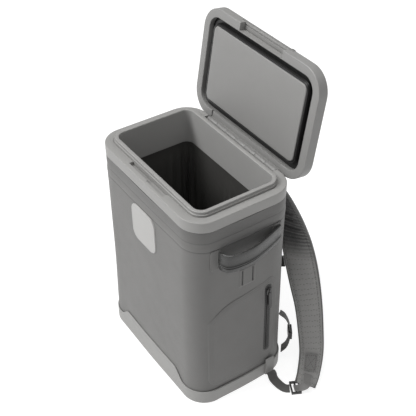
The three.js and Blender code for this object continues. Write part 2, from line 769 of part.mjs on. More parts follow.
function latchBar() {
  const front = -lidY + 0.2;
  const low = latchZ - latchTurn;
  const high = latchZ + latchTurn;
  const rib = LATCH_THICKNESS / 5;
  const profile = [];
  for (let i = 0; i <= 8; i += 1) {
    const angle = -Math.PI / 2 + (Math.PI * i) / 8;
    profile.push([latchY + latchTurn * Math.cos(angle), latchZ + latchTurn * Math.sin(angle)]);
  }
  profile.push([front + 1, high], [front, high - 0.8]);
  for (let i = 1; i < 5; i += 2) {
    profile.push([front, high - rib * i], [front + LATCH_RIB, high - rib * (i + 0.15)]);
    profile.push([front + LATCH_RIB, high - rib * (i + 0.85)], [front, high - rib * (i + 1)]);
  }
  profile.push([front, low + 0.8], [front + 1, low]);
  const half = LATCH_LENGTH / 2;
  const bar = runAlongX(profile, -half, half);
  return join([bar, rod(LATCH_PIN, -half - 3, half + 3, latchY, latchZ, 10)]);
}

// A small rubber button near the right end of the latch.
function latchButton() {
  const rings = [];
  const from = LATCH_LENGTH / 2 - BUTTON_LENGTH - BUTTON_INSET;
  const seat = latchZ + latchTurn + GAP;
  const count = 6;
  for (let i = 0; i <= count; i += 1) {
    const t = -1 + (2 * i) / count;
    const size = Math.sqrt(1 - 0.94 * t * t);
    const x = from + (BUTTON_LENGTH / 2) * (1 + t);
    const section = [];
    for (let k = 0; k <= count; k += 1) {
      const angle = (Math.PI * k) / count;
      const y = -lidY + 1 + (BUTTON_WIDTH / 2) * (1 + size * Math.cos(angle));
      section.push(new THREE.Vector3(x, y, seat + BUTTON_HEIGHT * size * Math.sin(angle)));
    }
    rings.push(section);
  }
  return loft(rings);
}

// Handles, patches, badge and pocket on the body's sides

// The handle's bow: share of the span from its front end, and share of HANDLE_REACH away from the body
const HANDLE_BOW = [
  { along: 0, out: 0 },
  { along: 0.015, out: 0.35 },
  { along: 0.05, out: 0.72 },
  { along: 0.14, out: 0.93 },
  { along: 0.3, out: 1 },
  { along: 0.46, out: 0.93 },
  { along: 0.62, out: 0.72 },
  { along: 0.78, out: 0.45 },
  { along: 0.9, out: 0.2 },
  { along: 1, out: 0 },
];

// Sweeps a section along points, each with its own directions for the section's width and thickness.
function sweep(stations) {
  return loft(
    stations.map(({ at, wide, thick, section }) =>
      section.map(([w, t]) =>
        at.clone().addScaledVector(wide, w).addScaledVector(thick, t),
      ),
    ),
  );
}

// A ribbon section: flat, with slightly rounded edges; counter-clockwise in width and thickness.
function ribbonSection(width, thickness) {
  const w = width / 2;
  const t = thickness / 2;
  const e = Math.min(t, 1.2);
  return [
    [-w + e, -t],
    [w - e, -t],
    [w, 0],
    [w - e, t],
    [-w + e, t],
    [-w, 0],
  ];
}

const handlePatchLift = GAP + PATCH_THICKNESS;

function sideHandle() {
  const stations = [];
  const count = 14;
  const base = handlePatchLift + GAP + HANDLE_THICKNESS / 2;
  const start = HANDLE_CENTRE_Y - HANDLE_SPAN / 2;
  const place = (share) => {
    const y = start + HANDLE_SPAN * share;
    const out = HANDLE_REACH * readTable(HANDLE_BOW, "along", "out", share);
    return new THREE.Vector3(onBody("right", y, HANDLE_Z, 0).x + base + out, y, HANDLE_Z);
  };
  for (let i = 0; i <= count; i += 1) {
    const share = (i / count) ** 1.35;
    const at = place(share);
    const ahead = place(Math.min(1, share + 0.01));
    const behind = place(Math.max(0, share - 0.01));
    const along = ahead.sub(behind).normalize();
    const wide = new THREE.Vector3(0, 0, 1);
    const thick = new THREE.Vector3().crossVectors(along, wide).normalize();
    stations.push({ at, wide, thick, section: handleSection() });
  }
  return sweep(stations);
}

// The handle's webbing is folded lengthwise, so its outer face has a ridge over the lower third.
function handleSection() {
  const w = HANDLE_WIDTH / 2;
  const t = HANDLE_THICKNESS / 2;
  return [
    [-w, -0.4 * t],
    [-w + 1.5, -t],
    [w - 1.5, -t],
    [w, -0.4 * t],
    [w - 1.5, 0.8 * t],
    [0, 0.4 * t],
    [-0.25 * w, t],
    [-0.4 * w, 0.5 * t],
    [-w + 2, 0.8 * t],
  ];
}

function handlePatch(centreU) {
  const height = HANDLE_WIDTH + 2 * PATCH_MARGIN;
  const centreZ = HANDLE_Z + PATCH_RISE;
  const edge = patchOutline(HANDLE_PATCH, height, PATCH_CORNER, centreU, centreZ, 2, 2);
  return bodyPatch("right", edge, GAP, PATCH_THICKNESS);
}

// A welded patch below the handle with two slits, which leaves a loop between them.
function toolLoop() {
  const edge = patchOutline(TOOL_WIDTH, TOOL_HEIGHT, TOOL_CORNER, TOOL_Y, TOOL_Z, 3, 2);
  const slits = [-TOOL_SLITS / 2, TOOL_SLITS / 2].map((aside) =>
    sidePlug(
      "right",
      patchOutline(TOOL_SLIT, TOOL_SLIT_LENGTH, TOOL_SLIT / 2 - 0.1, TOOL_Y + aside, TOOL_Z, 2, 1),
    ),
  );
  return cut(bodyPatch("right", edge, GAP, PATCH_THICKNESS), slits);
}

function badgePlate() {
  const edge = patchOutline(BADGE_WIDTH, BADGE_HEIGHT, BADGE_CORNER, 0, BADGE_Z, 6, 3);
  return bodyPatch("front", edge, GAP, BADGE_THICKNESS);
}

// The pocket's edge: a straight foot and front, and a top that rises towards the zip in a soft curve.
const POCKET_TOP_EDGE = [
  { along: 0, rise: 0 },
  { along: 0.1, rise: 0.26 },
  { along: 0.3, rise: 0.6 },
  { along: 0.6, rise: 0.78 },
  { along: 0.8, rise: 0.9 },
  { along: 0.92, rise: 1 },
  { along: 1, rise: 0.62 },
];

function pocketOutline() {
  const edge = [];
  const bottomArc = (centreU, centreZ, from) => {
    for (let i = 0; i <= 4; i += 1) {
      const angle = from + (Math.PI / 2) * (i / 4);
      edge.push([centreU + POCKET_CORNER * Math.cos(angle), centreZ + POCKET_CORNER * Math.sin(angle)]);
    }
  };
  bottomArc(POCKET_LEFT + POCKET_CORNER, POCKET_BOTTOM + POCKET_CORNER, Math.PI);
  bottomArc(POCKET_RIGHT - POCKET_CORNER, POCKET_BOTTOM + POCKET_CORNER, 1.5 * Math.PI);
  edge.push([POCKET_RIGHT, mix(POCKET_BOTTOM, POCKET_SHOULDER, 0.5)], [POCKET_RIGHT, POCKET_SHOULDER]);
  [...POCKET_TOP_EDGE].reverse().forEach(({ along, rise }) => {
    edge.push([mix(POCKET_LEFT, POCKET_RIGHT, along), mix(POCKET_SHOULDER, POCKET_TOP, rise)]);
  });
  edge.push([POCKET_LEFT, mix(POCKET_BOTTOM, POCKET_SHOULDER, 0.66)]);
  return edge;
}

const zipTop = ZIP_BOTTOM + ZIP_LENGTH;

function pocketPanel() {
  const slot = patchOutline(ZIP_WIDTH, ZIP_LENGTH, ZIP_WIDTH / 2 - 0.1, ZIP_Y, (ZIP_BOTTOM + zipTop) / 2);
  return cut(bodyPatch("right", pocketOutline(), GAP, POCKET_THICKNESS), [sidePlug("right", slot)]);
}

function zipTape() {
  const inset = 2 * GAP;
  const centreZ = (ZIP_BOTTOM + zipTop) / 2;
  const edge = patchOutline(
    ZIP_WIDTH - inset,
    ZIP_LENGTH - inset,
    (ZIP_WIDTH - inset) / 2 - 0.1,
    ZIP_Y,
    centreZ,
    3,
    4,
  );
  const coilLength = ZIP_LENGTH - 2 * ZIP_WIDTH;
  const coilEdge = patchOutline(ZIP_COIL, coilLength, ZIP_COIL / 2 - 0.1, ZIP_Y, centreZ - 3, 2, 4);
  const tape = bodyPatch("right", edge, GAP, ZIP_TAPE);
  const coil = bodyPatch("right", coilEdge, GAP + ZIP_TAPE / 2, ZIP_TAPE + 0.5);
  return join([tape, coil]);
}

const sliderZ = zipTop - ZIP_SLIDER_DROP;
const sliderLift = GAP + 2 * ZIP_TAPE + 0.5;

function zipSlider() {
  const seat = onBody("right", ZIP_Y, sliderZ, sliderLift).x + 0.1;
  const shape = [
    [-5, -7],
    [0, -8.5],
    [5, -7],
    [5.4, 3],
    [3, 8],
    [-3, 8],
    [-5.4, 3],
  ];
  const face = (x, scale) =>
    shape.map(([y, z]) => new THREE.Vector3(x, ZIP_Y + y * scale, sliderZ + z * scale));
  const body = loft([face(seat, 1), face(seat + 2.4, 1), face(seat + 3.2, 0.8)]);
  const bridge = block([seat + 2.6, ZIP_Y - 1.3, sliderZ - 1], [seat + 5.4, ZIP_Y + 1.3, sliderZ + 6]);
  return join([body, bridge]);
}

function zipPull() {
  const seat = onBody("right", ZIP_Y, sliderZ, sliderLift).x + 3.9;
  const top = sliderZ - 1 - GAP;
  const widths = [
    { down: 0, half: 2.2 },
    { down: 0.12, half: 3.2 },
    { down: 0.8, half: 3.6 },
    { down: 1, half: 2.4 },
  ];
  const sideways = 3;
  const rings = widths.map(({ down, half }) => {
    const z = top - PULL_LENGTH * down;
    const y = ZIP_Y + sideways * down;
    return [
      new THREE.Vector3(seat, y - half, z),
      new THREE.Vector3(seat, y + half, z),
      new THREE.Vector3(seat + 1.8, y + half, z),
      new THREE.Vector3(seat + 1.8, y - half, z),
    ];
  });
  return loft(rings);
}

// Shoulder straps and their webbing, drawn for the right side and mirrored for the left

const strapSplay = halfBodyX + STRAP_ASIDE;

// Stations of the padded strap from its root to its lower end. side, back and height are shares of
// strapSplay, STRAP_REACH and STRAP_TOP, width is a share of STRAP_WIDTH, and turn is in degrees.
const STRAP_ROUTE = [
  { at: 0, side: 0.341, back: 0.12, height: 1, width: 0.88, turn: 0 },
  { at: 1, side: 0.366, back: 0.39, height: 0.903, width: 0.94, turn: 6 },
  { at: 2, side: 0.386, back: 0.69, height: 0.772, width: 0.985, turn: 14 },
  { at: 3, side: 0.411, back: 0.91, height: 0.636, width: 1, turn: 24 },
  { at: 4, side: 0.463, back: 1, height: 0.51, width: 0.985, turn: 32 },
  { at: 5, side: 0.543, back: 0.985, height: 0.398, width: 0.92, turn: 38 },
  { at: 6, side: 0.637, back: 0.895, height: 0.301, width: 0.82, turn: 44 },
  { at: 7, side: 0.74, back: 0.71, height: 0.209, width: 0.76, turn: 48 },
  { at: 8, side: 0.849, back: 0.45, height: 0.126, width: 0.71, turn: 54 },
  { at: 9, side: 0.935, back: 0.11, height: 0.058, width: 0.67, turn: 60 },
  { at: 10, side: 0.98, back: -0.15, height: 0.0195, width: 0.63, turn: 63 },
];

const LAST_STATION = STRAP_ROUTE.length - 1;
const CHEST_STATION = 4.1;

function strapFrame(at) {
  const read = (column, place) => readTable(STRAP_ROUTE, "at", column, place);
  const point = (place) =>
    new THREE.Vector3(
      strapSplay * read("side", place),
      halfBodyY + STRAP_REACH * read("back", place),
      STRAP_TOP * read("height", place),
    );
  const along = point(Math.min(LAST_STATION, at + 0.05)).sub(point(Math.max(0, at - 0.05))).normalize();
  const turn = THREE.MathUtils.degToRad(read("turn", at));
  const level = new THREE.Vector3(Math.cos(turn), Math.sin(turn), 0);
  const wide = level.addScaledVector(along, -level.dot(along)).normalize();
  const thick = new THREE.Vector3().crossVectors(along, wide).normalize();
  return { at: point(at), along, wide, thick, width: STRAP_WIDTH * read("width", at) };
}

function padSection(width, thickness) {
  const w = width / 2;
  const t = thickness / 2;
  return [
    [-w + 1, -0.35 * t],
    [-w + 5, -0.92 * t],
    [-w / 2, -t],
    [w / 2, -t],
    [w - 5, -0.92 * t],
    [w - 1, -0.35 * t],
    [w, 0.1 * t],
    [w - 4, 0.7 * t],
    [w / 2, t],
    [-w / 2, t],
    [-w + 4, 0.7 * t],
    [-w, 0.1 * t],
  ];
}

function shoulderStrap() {
  const stations = [];
  const count = 2 * LAST_STATION;
  for (let i = 0; i <= count; i += 1) {
    const frame = strapFrame(i / 2);
    const taper = i % count === 0 ? 0.6 : 1;
    stations.push({ ...frame, section: padSection(frame.width, STRAP_THICKNESS * taper) });
  }
  return sweep(stations);
}

const ROOT_HEIGHT = 30;
const ROOT_DROP = 2; // below the strap's own top end

function strapRoot() {
  const centre = strapSplay * STRAP_ROUTE[0].side;
  const edge = patchOutline(STRAP_WIDTH, ROOT_HEIGHT, PATCH_CORNER, -centre, STRAP_TOP - ROOT_DROP, 2, 3);
  return bodyPatch("back", edge, GAP, PATCH_THICKNESS);
}

// A webbing ribbon along a smooth curve through points; level gives the direction of its width.
function webbing(points, level, width = WEBBING, steps = 12) {
  const curve = new THREE.CatmullRomCurve3(points);
  const stations = [];
  for (let i = 0; i <= steps; i += 1) {
    const t = i / steps;
    const at = curve.getPoint(t);
    const along = curve.getTangent(t).normalize();
    const lay = level(t);
    const wide = lay.addScaledVector(along, -lay.dot(along)).normalize();
    const thick = new THREE.Vector3().crossVectors(along, wide).normalize();
    stations.push({ at, wide, thick, section: ribbonSection(width, WEBBING_THICKNESS) });
  }
  return sweep(stations);
}

const trayOut = halfBodyX + BODY_BULGE + TRAY_SIDE + GAP;
const anchorInner = trayOut + 2 * GAP;
const anchorOuter = anchorInner + ANCHOR_THICKNESS;
const anchorHalf = WEBBING / 2;
const anchorY = halfBodyY - ANCHOR_INSET;

// The moulded tab over the base's edge that holds the lower webbing.
function baseAnchor() {
  const rows = [
    { height: 0.04, out: 0.6 },
    { height: 0.1, out: 1 },
    { height: 0.55, out: 1 },
    { height: 0.92, out: 0.7 },
    { height: 1, out: 0.4 },
  ];
  const round = 1;
  const rings = rows.map(({ height, out }) => {
    const z = ANCHOR_HEIGHT * height;
    const x = mix(anchorInner, anchorOuter, out);
    return [
      new THREE.Vector3(anchorInner, anchorY - anchorHalf, z),
      new THREE.Vector3(x, anchorY - anchorHalf + round, z),
      new THREE.Vector3(x, anchorY + anchorHalf - round, z),
      new THREE.Vector3(anchorInner, anchorY + anchorHalf, z),
    ];
  });
  return loft(rings);
}

const strapEnd = strapFrame(LAST_STATION);
const lockWay = new THREE.Vector3(-0.45, -0.89, 0).normalize();
const lockAcross = new THREE.Vector3(-lockWay.y, lockWay.x, 0);
const LOCK_STANDOFF = 9; // from the middle of the strap's end to the buckle
const LOCK_BAR = 3;
const FLOOR_CLEAR = 0.8;

// The buckle at the strap's lower end: a frame with two slots, lying just over the floor.
function ladderLock() {
  const half = LOCK_WIDTH / 2;
  const slot = (LOCK_LENGTH - 3 * LOCK_BAR) / 2;
  const frame = block([0, -half, 0], [LOCK_LENGTH, half, LOCK_THICKNESS]);
  const slots = [LOCK_BAR, 2 * LOCK_BAR + slot].map((x) =>
    block([x, -half + LOCK_BAR, -1], [x + slot, half - LOCK_BAR, LOCK_THICKNESS + 1]),
  );
  const start = strapEnd.at.clone().addScaledVector(lockWay, LOCK_STANDOFF);
  const angle = Math.atan2(lockWay.y, lockWay.x);
  return cut(frame, slots).rotateZ(angle).translate(start.x, start.y, FLOOR_CLEAR);
}

// The lower webbing's way from the base's tab to the buckle: shares of the way out, of its swing and of
// its rise.
const LOWER_ROUTE = [
  { out: 0, aside: 0, rise: 1 },
  { out: 0.1, aside: -0.03, rise: 0.9 },
  { out: 0.3, aside: -0.45, rise: 0.5 },
  { out: 0.58, aside: -0.42, rise: 0.35 },
  { out: 0.8, aside: -0.15, rise: 0.3 },
  { out: 0.93, aside: 0.32, rise: 0.3 },
  { out: 1, aside: 1, rise: 0.3 },
];
const LOWER_RISE = 8;

function lowerWebbing() {
  const end = strapEnd.at.clone().addScaledVector(lockWay, LOCK_STANDOFF + LOCK_LENGTH + 4 * GAP);
  const start = new THREE.Vector3(anchorOuter + 4 * GAP, anchorY, 0);
  const points = LOWER_ROUTE.map(
    ({ out, aside, rise }) =>
      new THREE.Vector3(mix(start.x, end.x, out), mix(start.y, end.y, aside), LOWER_RISE * rise),
  );
  const level = new THREE.Vector3(0, 1, 0);
  const across = lockAcross.clone().negate();
  return webbing(points, (t) => level.clone().lerp(across, smooth(t)), WEBBING, 10);
}

// The box-stitched patch on the strap's inner face, between two stations near its lower end.
function strapPatch() {
  const over = STRAP_THICKNESS / 2 + 2 * GAP + WEBBING_THICKNESS / 2;
  const stations = [8.1, 8.5, 8.9].map((at) => {
    const frame = strapFrame(at);
    const place = frame.at.clone().addScaledVector(frame.thick, over);
    return { ...frame, at: place, section: ribbonSection(STRAP_PATCH_WIDTH, WEBBING_THICKNESS) };
  });
  return sweep(stations);
}

// The free end of the lower webbing: it lies over the buckle and rises along the strap's inner face.
function webbingTail() {
  const over = STRAP_THICKNESS / 2 + GAP + WEBBING_THICKNESS;
  const onStrap = (station, lift) => {
    const frame = strapFrame(station);
    const at = frame.at.clone().addScaledVector(frame.thick, over + lift);
    return at.addScaledVector(frame.wide, TAIL_ASIDE);
  };
  const lockTop = FLOOR_CLEAR + LOCK_THICKNESS + 3 * GAP + WEBBING_THICKNESS / 2;
  const overLock = (away) => {
    const at = strapEnd.at.clone().addScaledVector(lockWay, LOCK_STANDOFF + away);
    return at.addScaledVector(lockAcross, TAIL_SHIFT).setZ(lockTop);
  };
  const points = [
    overLock(LOCK_LENGTH * 0.7),
    overLock(LOCK_LENGTH * 0.2),
    onStrap(LAST_STATION, 10),
    onStrap(9.5, 2.4),
    onStrap(9.1, -0.5),
  ];
  const across = strapEnd.wide.clone().negate();
  return webbing(points, (t) => lockAcross.clone().lerp(across.clone().negate(), smooth(t)), TAIL_WIDTH, 9);
}

// The loose webbing loop behind the body's back corner, from the body down to the base.
const LOOP_ROUTE = [
  { side: 0.93, back: 0.42, height: 0.93 },
  { side: 0.985, back: 0.7, height: 0.78 },
  { side: 0.99, back: 0.75, height: 0.55 },
  { side: 0.965, back: 0.5, height: 0.34 },
  { side: 0.9, back: 0.2, height: 0.17 },
];
const loopAcross = new THREE.Vector3(0.83, -0.56, 0).normalize();

function loopPoint({ side, back, height }) {
  return new THREE.Vector3(halfBodyX * side, halfBodyY + 1.2 + LOOP_REACH * back, LOOP_TOP * height);
}

// It starts flat on the body, part of the way round the back corner.
const LOOP_START_TURN = 26;

function sideWebbing() {
  const turn = THREE.MathUtils.degToRad(LOOP_START_TURN);
  const round = halfBodyX - BODY_CORNER + BODY_CORNER * turn;
  const start = onBody("back", -round, LOOP_TOP, 4 * GAP + WEBBING_THICKNESS);
  const flat = new THREE.Vector3(Math.cos(turn), -Math.sin(turn), 0);
  const points = [start, ...LOOP_ROUTE.map(loopPoint)];
  return webbing(points, (t) => flat.clone().lerp(loopAcross, smooth(2 * t)), LOOP_WIDTH, 10);
}

// The slider that the loop passes through.
function sideBuckle() {
  const half = LOOP_WIDTH / 2 + 3;
  const frame = block([-half, -4, -9], [half, 4, 9]);
  const slotHalf = WEBBING_THICKNESS / 2 + 4 * GAP;
  const slot = block([-LOOP_WIDTH / 2 - 2 * GAP, -slotHalf, -10], [LOOP_WIDTH / 2 + 2 * GAP, slotHalf, 10]);
  const centre = loopPoint({ side: 0.99, back: 0.755, height: 0.64 });
  const angle = Math.atan2(loopAcross.y, loopAcross.x);
  return cut(frame, [slot]).rotateZ(angle).translate(centre.x, centre.y, centre.z);
}

// Chest strap between the two shoulder straps

const chestFrame = strapFrame(CHEST_STATION);
const chestEdge = chestFrame.at.clone().addScaledVector(chestFrame.wide, -chestFrame.width / 2);

const chestLevel = new THREE.Vector3(chestFrame.wide.x, chestFrame.wide.y, 0).normalize();
const CHEST_EDGE_GAP = 0.8; // the strap's edge is curved, so its clip stands this far off

// The clip on the strap's inner edge, set square to that edge.
function chestSlider() {
  const half = CHEST_CLIP_HEIGHT / 2;
  const clip = block([-CHEST_CLIP - CHEST_EDGE_GAP, -half, -3], [-CHEST_EDGE_GAP, half, 3]);
  const slot = block([-CHEST_CLIP + 2, -half + 3.5, -5], [-CHEST_CLIP + 5.5, half - 3.5, 5]);
  const { wide, along, thick } = chestFrame;
  const turn = new THREE.Matrix4().makeBasis(wide, along, wide.clone().cross(along)).setPosition(chestEdge);
  return cut(clip, [slot]).applyMatrix4(turn);
}

const chestReach = chestFrame.wide
  .clone()
  .multiplyScalar(-CHEST_CLIP - CHEST_EDGE_GAP - 8 * GAP)
  .add(chestEdge);

function chestWebbing() {
  const buckleHalf = CHEST_BUCKLE / 2;
  const inner = new THREE.Vector3(buckleHalf + 3 * GAP, chestReach.y + CHEST_SAG, chestReach.z - CHEST_SAG);
  const middle = chestReach.clone().lerp(inner, 0.5).setY(chestReach.y + CHEST_SAG * 0.7);
  const upright = new THREE.Vector3(0, 0, 1);
  const slant = chestFrame.along.clone().negate();
  const level = (t) => slant.clone().lerp(upright, smooth(2 * t));
  return webbing([chestReach, middle, inner], level, CHEST_WEBBING, 6);
}

function chestBuckle() {
  const half = CHEST_BUCKLE / 2;
  const y = chestReach.y + CHEST_SAG;
  const z = chestReach.z - CHEST_SAG;
  const outlineOf = (share) => {
    const h = 13;
    return [
      [-half, -h * 0.75],
      [-half * 0.5, -h * share],
      [half * 0.5, -h * share],
      [half, -h * 0.75],
      [half, h * 0.75],
      [half * 0.5, h * share],
      [-half * 0.5, h * share],
      [-half, h * 0.75],
    ];
  };
  const face = (depth, share, scale) =>
    outlineOf(share).map(([x, up]) => new THREE.Vector3(x, y + depth, z + up * scale));
  return loft([face(-4, 1, 0.85), face(-2.5, 1, 1), face(2.5, 1, 1), face(4, 1, 0.85)]);
}

// Assembly

function material(finish) {
  const { color, roughness, metalness = 0 } = FINISHES[finish];
  return new THREE.MeshStandardMaterial({ color, roughness, metalness });
}

function node(parent, name, geometry, finish) {
  const mesh = new THREE.Mesh(geometry, material(finish));
  mesh.name = name;
  parent.add(mesh);
  return mesh;
}

const pack = new THREE.Group();
node(pack, "body_shell", bodyShell(), "shell");
node(pack, "cooler_liner", coolerLiner(), "bag");
node(pack, "rim_collar", rimCollar(), "rim");
node(pack, "base_tray", baseTray(), "rim");
node(pack, "badge_plate", badgePlate(), "badge");
node(pack, "hinge_pin", hingePin(), "steel");

const lid = new THREE.Group();
lid.position.set(0, hingeY, hingeZ);
lid.rotation.x = THREE.MathUtils.degToRad(-LID_OPEN_DEG);
pack.add(lid);
const inLid = (geometry) => geometry.translate(0, -hingeY, -hingeZ);
node(lid, "lid_shell", inLid(lidShell()), "lid");
node(lid, "lid_panel", inLid(lidPanel()), "panel");
node(lid, "lid_gasket", inLid(lidGasket()), "seal");
node(lid, "hinge_barrel", inLid(hingeBarrel()), "lid");
node(lid, "latch_bar", inLid(latchBar()), "lid");
node(lid, "latch_button", inLid(latchButton()), "seal");

node(pack, "pocket_panel", pocketPanel(), "shell");
node(pack, "tool_loop", toolLoop(), "shell");
node(pack, "zip_tape", zipTape(), "webbing");
node(pack, "zip_slider", zipSlider(), "hard");
node(pack, "zip_pull", zipPull(), "hard");

const patchCentres = {
  front: HANDLE_CENTRE_Y - HANDLE_SPAN / 2 - HANDLE_PATCH / 2 + HANDLE_PATCH_UNDER_FRONT,
  back: HANDLE_CENTRE_Y + HANDLE_SPAN / 2 + HANDLE_PATCH / 2 - HANDLE_PATCH_UNDER_BACK,
};
const SIDES = { right: (geometry) => geometry, left: mirrored };
Object.entries(SIDES).forEach(([side, onSide]) => {
  node(pack, `side_handle_${side}`, onSide(sideHandle()), "webbing");
  Object.entries(patchCentres).forEach(([place, centre]) => {
    node(pack, `handle_patch_${place}_${side}`, onSide(handlePatch(centre)), "shell");
  });
  node(pack, `strap_root_${side}`, onSide(strapRoot()), "webbing");
  node(pack, `shoulder_strap_${side}`, onSide(shoulderStrap()), "mesh");
  node(pack, `base_anchor_${side}`, onSide(baseAnchor()), "rim");
  node(pack, `ladder_lock_${side}`, onSide(ladderLock()), "hard");
  node(pack, `lower_webbing_${side}`, onSide(lowerWebbing()), "webbing");
  node(pack, `webbing_tail_${side}`, onSide(webbingTail()), "webbing");
  node(pack, `strap_patch_${side}`, onSide(strapPatch()), "webbing");
  node(pack, `side_webbing_${side}`, onSide(sideWebbing()), "webbing");
  node(pack, `side_buckle_${side}`, onSide(sideBuckle()), "hard");
  node(pack, `chest_slider_${side}`, onSide(chestSlider()), "hard");
  node(pack, `chest_webbing_${side}`, onSide(chestWebbing()), "webbing");
});
node(pack, "chest_buckle", chestBuckle(), "hard");

export default pack;
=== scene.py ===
import math

import bmesh
import bpy
import numpy as np
from mathutils import Matrix, Vector


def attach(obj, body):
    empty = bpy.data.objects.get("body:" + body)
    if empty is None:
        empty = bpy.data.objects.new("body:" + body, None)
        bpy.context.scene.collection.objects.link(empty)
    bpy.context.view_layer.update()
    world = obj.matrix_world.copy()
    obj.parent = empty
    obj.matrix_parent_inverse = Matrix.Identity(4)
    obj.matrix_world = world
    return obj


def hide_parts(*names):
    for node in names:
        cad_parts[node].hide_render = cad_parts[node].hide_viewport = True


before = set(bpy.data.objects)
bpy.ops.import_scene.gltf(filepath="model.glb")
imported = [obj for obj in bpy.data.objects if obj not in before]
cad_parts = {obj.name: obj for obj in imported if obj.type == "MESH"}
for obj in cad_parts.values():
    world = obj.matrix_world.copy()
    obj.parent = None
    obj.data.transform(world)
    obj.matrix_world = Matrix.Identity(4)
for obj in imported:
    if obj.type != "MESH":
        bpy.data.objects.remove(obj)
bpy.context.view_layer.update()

# Soft-sided cooler backpack with a hard rim and lid. Lengths in this file are millimetres unless a name says
# otherwise, and every mesh is scaled to metres when it is made.
MM = 0.001

# Driving sizes, the same as the solids have
BODY_WIDTH = 325.6
BODY_DEPTH = 213.6
BODY_CORNER = 44.0
BODY_BULGE = 2.8
BODY_CROWN = 1.2
PADDING_FLOOR = 22.0
RIM_TOP = 450.0
BAND_HEIGHT = 22.2
BAND_PROUD = 1.2
RIM_SIDE = 24.6
RIM_FRONT = 26.35
OPENING_CORNER = 16.5
LINER_SEAM_Z = 386.0
LINER_WALL = 3.0
LIP_HEIGHT = 9.0
LIP_WIDTH = 7.5
LIP_STEP = 1.4
BAG_THICKNESS = 1.6
BAG_FOLD = 7.0
TRAY_SIDE = 3.6
TRAY_FRONT = 2.2
TRAY_FLOOR = 3.0
TRAY_TOP = 31.5
TRAY_LIP_RISE = 23.0
TRAY_LIP_HALF = 88.0
TRAY_LIP_RUN = 32.0
LID_OVERHANG = 2.2
LID_SETBACK = 1.0
LID_THICKNESS = 20.3
LID_GAP = 0.4
LID_OPEN_DEG = 98.8
LID_FRAME = 17.0
LID_PANEL_CORNER = 11.4
SEAL_CLEARANCE = 0.65
GASKET_WIDTH = 15.7
SLEEVE_CLEARANCE = 0.6
SLEEVE_SETBACK = 2.2
GASKET_THICKNESS = 3.0
HINGE_RADIUS = 4.8
HINGE_LENGTH = 211.0
HINGE_DROP = 5.7
HINGE_INSET = 2.5
HINGE_RECESS_DEPTH = 4.0
LATCH_LENGTH = 143.0
LATCH_THICKNESS = 7.8
LATCH_REACH = 12.0
LATCH_SUNK = 0.4
NOTCH_LENGTH = 122.0
NOTCH_DEPTH = 15.0
HANDLE_SPAN = 130.0
HANDLE_CENTRE_Y = 7.0
HANDLE_Z = 361.0
HANDLE_WIDTH = 40.0
HANDLE_THICKNESS = 4.0
HANDLE_REACH = 21.0
WEBBING_THICKNESS = 1.8
STRAP_WIDTH = 68.0
STRAP_THICKNESS = 12.0
STRAP_TOP = 412.0
STRAP_REACH = 65.0
STRAP_ASIDE = 83.2
GAP = 0.35

half_x = BODY_WIDTH / 2
half_y = BODY_DEPTH / 2
wall_x = half_x - RIM_SIDE
wall_y = half_y - RIM_FRONT
strap_splay = half_x + STRAP_ASIDE
band_bottom = RIM_TOP - BAND_HEIGHT
body_bottom = TRAY_FLOOR + GAP
hinge_y = half_y + BAND_PROUD - HINGE_INSET
hinge_z = RIM_TOP - HINGE_DROP
lip_top = RIM_TOP + LIP_HEIGHT
bag_floor = body_bottom + PADDING_FLOOR
collar_x = half_x + BAND_PROUD
collar_y = half_y + BAND_PROUD
lid_x = collar_x + LID_OVERHANG
lid_y = collar_y - LID_SETBACK
lid_corner = BODY_CORNER + BAND_PROUD
lid_bottom = RIM_TOP + LID_GAP
lid_top = lid_bottom + LID_THICKNESS
seal_ceiling = lip_top + LID_GAP + GASKET_THICKNESS
latch_y = -lid_y + LATCH_REACH
latch_z = lid_top - LATCH_THICKNESS / 2 - LATCH_SUNK
latch_turn = LATCH_THICKNESS / 2
seal_x = lid_x - LID_FRAME
seal_y = lid_y - LID_FRAME
seal_corner = OPENING_CORNER + LIP_WIDTH + LIP_STEP + SEAL_CLEARANCE

# Camera, at the photograph's viewing angle
CAMERA_AT = (1.09111, -0.70192, 1.37663)
CAMERA_RIGHT = Vector((0.56119, 0.82767, -0.00508))
CAMERA_UP = Vector((-0.51450, 0.35365, 0.78117))
CAMERA_LENS = 76.916


def link_new(name, data):
    obj = bpy.data.objects.new(name, data)
    bpy.context.scene.collection.objects.link(obj)
    return obj


def add_camera():
    data = bpy.data.cameras.new("camera")
    data.sensor_width = 36
    data.lens = CAMERA_LENS
    data.clip_end = 30
    camera = link_new("camera", data)
    turn = Matrix((CAMERA_RIGHT, CAMERA_UP, CAMERA_RIGHT.cross(CAMERA_UP)))
    camera.matrix_world = Matrix.Translation(CAMERA_AT) @ turn.transposed().to_4x4()
    bpy.context.scene.camera = camera


add_camera()


# Shared maths


def mix(a, b, t):
    return a + (b - a) * t


def smooth(t):
    s = np.clip(t, 0.0, 1.0)
    return s * s * (3 - 2 * s)


def bump_at(x, centre, width):
    return np.exp(-(((x - centre) / width) ** 2))


def read_table(keys, values, at):
    """A smooth curve through a table's rows."""
    last = len(keys) - 1
    i = 0
    while i < last - 1 and at > keys[i + 1]:
        i += 1
    before, after = max(0, i - 1), min(last, i + 2)
    span = keys[i + 1] - keys[i]
    t = min(1.0, max(0.0, (at - keys[i]) / span))
    slope_in = (values[i + 1] - values[before]) / (keys[i + 1] - keys[before]) * span
    slope_out = (values[after] - values[i]) / (keys[after] - keys[i]) * span
    t2, t3 = t * t, t * t * t
    return (
        (2 * t3 - 3 * t2 + 1) * values[i]
        + (t3 - 2 * t2 + t) * slope_in
        + (3 * t2 - 2 * t3) * values[i + 1]
        + (t3 - t2) * slope_out
    )


def rotate_quarter(a, b, turns):
    for _ in range(turns):
        a, b = -b, a
    return a, b


def crown_share(t):
    return math.cos(math.pi / 2 * min(1.0, abs(t))) ** 2


